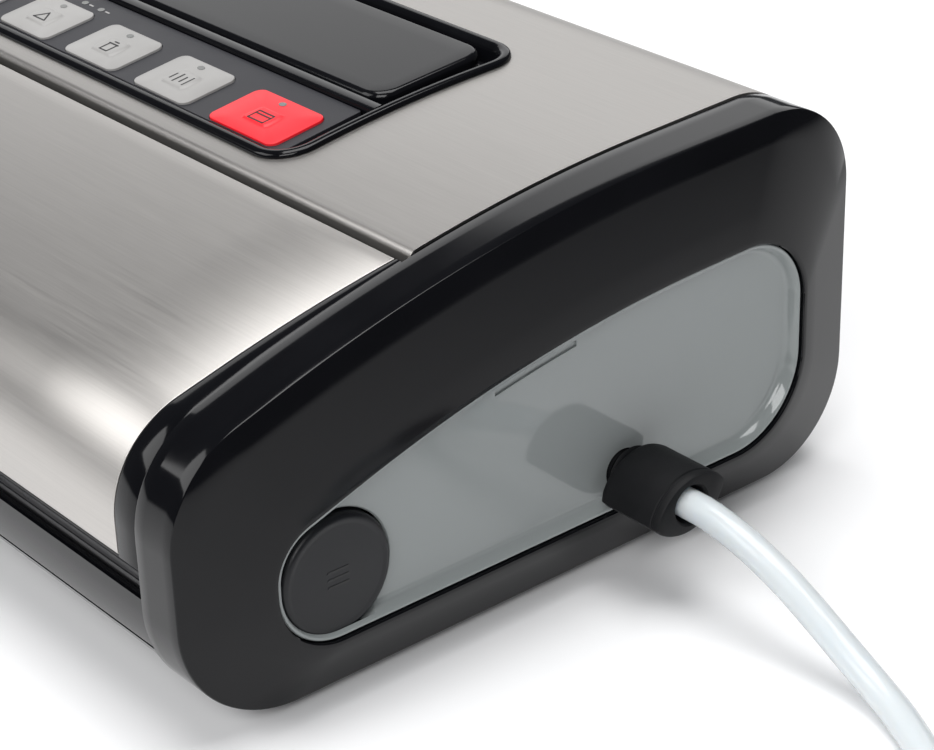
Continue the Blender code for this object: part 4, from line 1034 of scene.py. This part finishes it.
def make_base_tub():
    """The open section of the tub; the front point nearest to the parting line becomes a hairline."""
    outer, inner = (kept_run(side_outline(inset, 30)[::-1], lambda y, z: BASE_TOP - z)
                    for inset in (BASE_OUT, BASE_OUT + WALL))
    grooved = []
    front = min(range(len(outer)), key=lambda k: abs(outer[k][1] - PARTING_Z) + (outer[k][0] > 0))
    for k, (y, z) in enumerate(outer):
        if k == front:
            grooved += [(y, z + 0.0002), (y + 0.0005, z + 0.0001), (y + 0.0005, z - 0.0001), (y, z - 0.0002)]
        else:
            grooved.append((y, z))
    outline = grooved + inner[::-1]
    tub = loft("base_tub", along_x(outline, (-BASE_HALF, 0.0, BASE_HALF)), sharp=30.0)
    low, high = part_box("bottom_plate")
    corners = rectangle(low[0] - GAP, low[1] - GAP, high[0] + GAP, high[1] + GAP)
    cut(tub, [loft("plate_cut", along_z(corners, (low[2] - WALL, high[2] + WALL)))], 30.0)
    return settle(tub, "base", "gloss_black", "base_shell")


STRIP_LOW, STRIP_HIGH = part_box("front_strip")
RIB_COUNT = 4
RIB_DEPTH = 0.0009


def make_strip():
    """A wall with soft ribs along it; its section runs up the front and back down the rear."""
    low_x, face, foot = STRIP_LOW
    high_x, back, top = STRIP_HIGH
    valley = face + RIB_DEPTH
    outline = [(valley, foot)]
    pitch = (top - foot - 0.0008) / RIB_COUNT
    for i in range(RIB_COUNT):
        for k in range(8):
            y = face + RIB_DEPTH * (1 - math.sin(math.pi * k / 8))
            outline.append((y, foot + 0.0004 + pitch * (i + k / 8)))
    outline += [(valley, top - 0.0004), (valley + 0.0004, top), (back, top), (back, foot)]
    strip = loft("ribbed_strip", along_x(outline, (low_x, 0.0, high_x)), sharp=50.0)
    return settle(strip, "base", "satin_black", "front_strip", look="hook_black")


base_tub = make_base_tub()
strip = make_strip()
print("base tub", len(base_tub.data.vertices), "vertices; strip", len(strip.data.vertices))

# %% [markdown]
# ## The control panel's frame
# The frame drops into the steel and its lip drapes over the curved sheet. Its section is a small roll
# that catches one bright line of light. Inside it lie the soft key film, a ridge, and a raised
# polished pad. The lip follows the steel, so its height is taken from the side outline all round.

# %% Panel frame
LIP_HEIGHT = 0.0016
TRAY_DEPTH = 0.0042
MEMBRANE_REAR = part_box("key_membrane")[1][1]
PAD_LOW, PAD_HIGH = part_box("display_pad")


def plane_through(y0, y1):
    z0, z1 = top_at(y0), top_at(y1)
    return lambda y: z0 + (z1 - z0) * (y - y0) / (y1 - y0)


whole_plane = plane_through(PANEL_FRONT, PANEL_REAR)
key_plane = plane_through(PANEL_FRONT, MEMBRANE_REAR)
KEY_SLOPE = math.atan2(top_at(MEMBRANE_REAR) - top_at(PANEL_FRONT), MEMBRANE_REAR - PANEL_FRONT)


def fine_outline(inset):
    """The panel's outline with its long edges split, so that a ring can follow the curved steel."""
    outline, split = panel_outline(inset, 10), []
    for here, following in zip(outline, outline[1:] + outline[:1]):
        split.append(here)
        if abs(following[1] - here[1]) > 0.02:
            split += [tuple(Vector(here).lerp(Vector(following), i / 16)) for i in range(1, 16)]
    return split


def make_frame():
    def draped(inset, height):
        return [(x, y, top_at(y) + height) for x, y in fine_outline(inset)]

    def level(inset, height):
        return [(x, y, whole_plane(y) + height) for x, y in fine_outline(inset)]

    rings = [level(LIP_WIDTH + GAP, -TRAY_DEPTH - WALL), draped(LIP_WIDTH + GAP, GAP), draped(0.0, GAP)]
    for i in range(1, 10):
        angle = math.pi * i / 10
        rise = (LIP_HEIGHT - GAP) * math.sin(angle) ** 0.8
        rings.append(draped(0.0017 - 0.0017 * math.cos(angle), GAP + rise))
    rings += [draped(LIP_WIDTH + 0.0008, -0.0006), level(LIP_WIDTH + 0.0016, -TRAY_DEPTH + 0.0003),
              level(LIP_WIDTH + 0.0020, -TRAY_DEPTH)]
    piece = loft("panel_frame", rings, sharp=50.0)
    return settle(piece, "base", "gloss_black", "control_bezel")


def make_ridge():
    """A long rounded bar between keys and pad, whose top stands above the steel's own curve."""
    half, top, foot = PANEL_HALF - LIP_WIDTH - 0.0022, 0.0002, -0.003
    y0, y1 = MEMBRANE_REAR + 0.0006, PAD_LOW[1] - 0.0010
    shape = ((y0, foot), (y0, top - 0.0006), (y0 + 0.00015, top - 0.0002), (y0 + 0.0006, top),
             (y1 - 0.0008, top), (y1 - 0.0002, top - 0.0003), (y1, top - 0.0009), (y1, foot))
    outline = [(y, top_at(y) + height) for y, height in shape]
    ridge = loft("panel_ridge", along_x(outline, (-half, -half / 2, 0.0, half / 2, half)), sharp=55.0)
    settle(ridge, "base", "gloss_black")


panel_frame = make_frame()
make_ridge()
print("frame", len(panel_frame.data.vertices), "vertices")
print("key slope", round(math.degrees(KEY_SLOPE), 1), "degrees")

# %% [markdown]
# ## Keys
# The film is one charcoal sheet with five printed keys. Each key is a rounded patch with a round dome
# pressed into it, a small lamp window near its rear edge, and a plain pictogram instead of a word:
# a bag, bars for pulses, a jar. All of it lies in the film's own sloping plane.

# %% Film and keys
def on_film(x, y, height):
    """A point of the film: x and y as seen from above, height square to its plane."""
    return Vector((x, y - height * math.sin(KEY_SLOPE), key_plane(y) + height * math.cos(KEY_SLOPE)))


FILM_LOW, FILM_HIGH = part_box("key_membrane")
FILM_FLOOR = -TRAY_DEPTH + 3 * GAP
FILM_TOP = FILM_FLOOR + 0.0022
KEY_TOP = FILM_TOP + 0.0006
KEY_FACES = [("key_seal", "key_red")] + [(f"key_{i}", "key_silver") for i in range(1, 5)]
KEY_RADIUS = 0.0030


def key_area(node):
    """The middle of a key and half its width, along X."""
    low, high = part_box(node)
    return (low[0] + high[0]) / 2, (high[0] - low[0]) / 2


KEY_Y = FRONT + 0.1098
KEY_HALF_LENGTH = 0.00975


def key_outline(x, half_x, shrink=0.0):
    wide, long = half_x - shrink, KEY_HALF_LENGTH - shrink
    return rounded(rectangle(x - wide, KEY_Y - long, x + wide, KEY_Y + long), (KEY_RADIUS - shrink,) * 4, 8)


def film_layers(outline, heights):
    return [[on_film(x, y, height) for x, y in outline] for height in heights]


def make_film():
    corners = rectangle(FILM_LOW[0], FILM_LOW[1] + 0.0004, FILM_HIGH[0], MEMBRANE_REAR)
    outline = rounded(corners, (0.004, 0.0008, 0.0008, 0.004), 8)
    film = loft("key_film", film_layers(outline, (FILM_FLOOR, FILM_TOP)))
    cutters = []
    for node, _ in KEY_FACES:
        x, half_x = key_area(node)
        hole = key_outline(x, half_x + 0.0002)
        cutters.append(loft("key_hole", film_layers(hole, (-0.006, 0.003))))
    cut(film, cutters)
    soften(film, 0.00015, 2, 50.0)
    return settle(film, "base", "charcoal", "key_membrane", look="film_charcoal")


DOME_RADIUS = 0.0062
DOME_Y = KEY_Y - 0.0010
DOME_RISE = 0.00055
DOME_STEPS = ((1.25, 0.0), (1.10, 0.0), (1.0, 0.06), (0.95, 0.32), (0.89, 0.72), (0.83, 0.93), (0.75, 1.0),
              (0.55, 0.97), (0.35, 0.93), (0.15, 0.90))    # shares of its radius and of its rise


def make_key(node, slot):
    """Rings run from the skirt to the rounded patch, then blend to circles up over the dome."""
    x, half_x = key_area(node)
    rings = []
    for depth, shrink in ((0.0018, 0.0), (0.0002, 0.0), (0.00005, 0.00006), (0.0, 0.0002)):
        rings += film_layers(key_outline(x, half_x, shrink), (KEY_TOP - depth,))
    patch = key_outline(x, half_x, 0.0002)
    for share, rise in DOME_STEPS:
        ring = []
        for px, py in patch:
            away = Vector((px - x, py - DOME_Y)).normalized()
            spot = Vector((x, DOME_Y)) + away * DOME_RADIUS * share
            ring.append(on_film(spot.x, spot.y, KEY_TOP + DOME_RISE * rise))
        rings.append(ring)
    key = loft(f"face_of_{node}", rings, sharp=60.0)
    return settle(key, node, slot, node)


def print_on(name, outlines, level, thickness, body, look, slot):
    """Thin flat prints that lie at one level of the film."""
    bm = bmesh.new()
    for outline in outlines:
        add_loft(bm, film_layers(outline, (level - 0.0003, level + thickness)))
    settle(object_from(name, bm), body, slot, look=look)


def bar_outline(x0, y0, x1, y1, width):
    """A rounded stroke between two points of the film."""
    a, b = Vector((x0, y0)), Vector((x1, y1))
    along = (b - a).normalized() * width / 2
    side = Vector((-along.y, along.x))
    corners = (a - along - side, a - along + side, b + along + side, b + along - side)
    return rounded([tuple(c) for c in corners], (width * 0.45,) * 4, 3)


def lamp_outline(x, y, half_x=0.0014, half_y=0.0010, steps=20):
    turns = [2 * math.pi * i / steps for i in range(steps)]
    return [(x + half_x * math.cos(angle), y + half_y * math.sin(angle)) for angle in turns]


# Strokes in millimetres from the middle of the dome: x, y to x, y
PICTOGRAMS = {
    "key_seal": ((-3.4, 1.6, 3.4, 1.6), (-3.4, 1.6, -3.4, -2.6), (3.4, 1.6, 3.4, -2.6),
                 (-3.4, -2.6, 3.4, -2.6), (-3.4, 0.3, 3.4, 0.3)),
    "key_1": ((-3.6, -1.4, -3.6, 1.4), (-1.2, -2.2, -1.2, 2.2), (1.2, -1.4, 1.2, 1.4), (3.6, -2.2, 3.6, 2.2)),
    "key_2": ((-2.2, 1.4, 2.2, 1.4), (-1.8, 1.2, -1.8, -2.6), (1.8, 1.2, 1.8, -2.6),
              (-1.8, -2.6, 1.8, -2.6), (-1.0, 2.6, 1.0, 2.6)),
    "key_3": ((-3.0, -1.8, 0.0, 2.2), (0.0, 2.2, 3.0, -1.8), (-3.0, -1.8, 3.0, -1.8)),
    "key_4": ((-3.2, 0.0, 3.2, 0.0), (0.0, -2.4, 0.0, 2.4)),
}
STROKE = 0.00055


def dress_key(node):
    """The pictogram and the lamp window ride on the key that they are printed on."""
    x, half_x = key_area(node)
    strokes = [bar_outline(x + x0 / 1000, DOME_Y + y0 / 1000, x + x1 / 1000, DOME_Y + y1 / 1000, STROKE)
               for x0, y0, x1, y1 in PICTOGRAMS[node]]
    print_on(f"mark_on_{node}", strokes, KEY_TOP + DOME_RISE, 0.00004, node, "print_black", "satin_black")
    lamp = lamp_outline(x - half_x * 0.10, KEY_Y + 0.0070)
    print_on(f"lamp_on_{node}", [lamp], KEY_TOP, 0.00012, node, "lamp_grey", "motor_metal")


def make_side_lamps():
    """Two lamps for the food settings, each with a tick, printed on the film above the third key."""
    first, y = key_area("key_3")[0] + 0.0015, MEMBRANE_REAR - 0.0052
    places = (first, first + 0.0090)
    lamps = [lamp_outline(x, y) for x in places]
    print_on("setting_lamps", lamps, FILM_TOP, 0.0001, "base", "lamp_grey", "motor_metal")
    ticks = [bar_outline(x + 0.0026, y, x + 0.0044, y, 0.0006) for x in places]
    print_on("setting_ticks", ticks, FILM_TOP, 0.00005, "base", "key_silver", "key_silver")


film = make_film()
keys = [make_key(node, slot) for node, slot in KEY_FACES]
for node, _ in KEY_FACES:
    dress_key(node)
make_side_lamps()
print("keys:", len(keys), "film", len(film.data.vertices), "vertices")

# %% [markdown]
# ## The polished pad
# Behind the keys lies a raised polished pad with generous round edges. Its rings are the same rounded
# rectangle, drawn in as the edge rolls over, so the reflection runs off it smoothly.

# %% Pad
PAD_RADIUS = 0.008
PAD_TOP = 0.0022
PAD_ROLL = 0.0020


def make_pad():
    half, front, rear = PAD_HIGH[0], PAD_LOW[1], PAD_HIGH[1]
    shoulder = PAD_TOP - PAD_ROLL

    def ring(shrink, height):
        corners = rectangle(-half + shrink, front + shrink, half - shrink, rear - shrink)
        return [(x, y, whole_plane(y) + height) for x, y in rounded(corners, (PAD_RADIUS - shrink,) * 4, 10)]

    rings = [ring(0.0, -TRAY_DEPTH + GAP), ring(0.0, shoulder)]
    for i in range(1, 9):
        angle = math.radians(90 * i / 8)
        rings.append(ring(0.0018 * (1 - math.cos(angle)), shoulder + PAD_ROLL * math.sin(angle)))
    rings.append(ring(0.006, PAD_TOP + 0.0001))
    pad = loft("polished_pad", rings, sharp=60.0)
    return settle(pad, "base", "gloss_black", "display_pad")


pad = make_pad()
print("pad", len(pad.data.vertices), "vertices")

# %% [markdown]
# ## Pieces that keep their solid
# The inner pieces, the feet and the screws already have the right shape. They keep it: each gets a
# small bevel on its edges, if it is not too thin for one, and the finish that its slot asks for.

# %% Carried-over pieces
EDGE = {"foam": 0.0004, "rubber": 0.0004, "satin_black": 0.0003}
LEFT_SHARP = ("heater_tape", "channel_tube", "port_tube", "button_spring_right", "button_spring_left")


def dress_solids():
    hidden = {node for thing in bpy.data.objects for node in thing.get("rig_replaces", [])}
    slots = {part["node"]: part["material_slot"] for part in frame["record"]["subparts"]}
    kept = 0
    for name, solid in frame["nodes"].items():
        if name in hidden:
            continue
        slot = slots[name]
        solid.data.materials.clear()
        solid.data.materials.append(FINISHES[SLOT_FINISH.get(slot, slot)])
        if name not in LEFT_SHARP:
            soften(solid, EDGE.get(slot, 0.00025), 2, 35.0)
        kept += 1
    return kept


print("solids kept:", dress_solids())
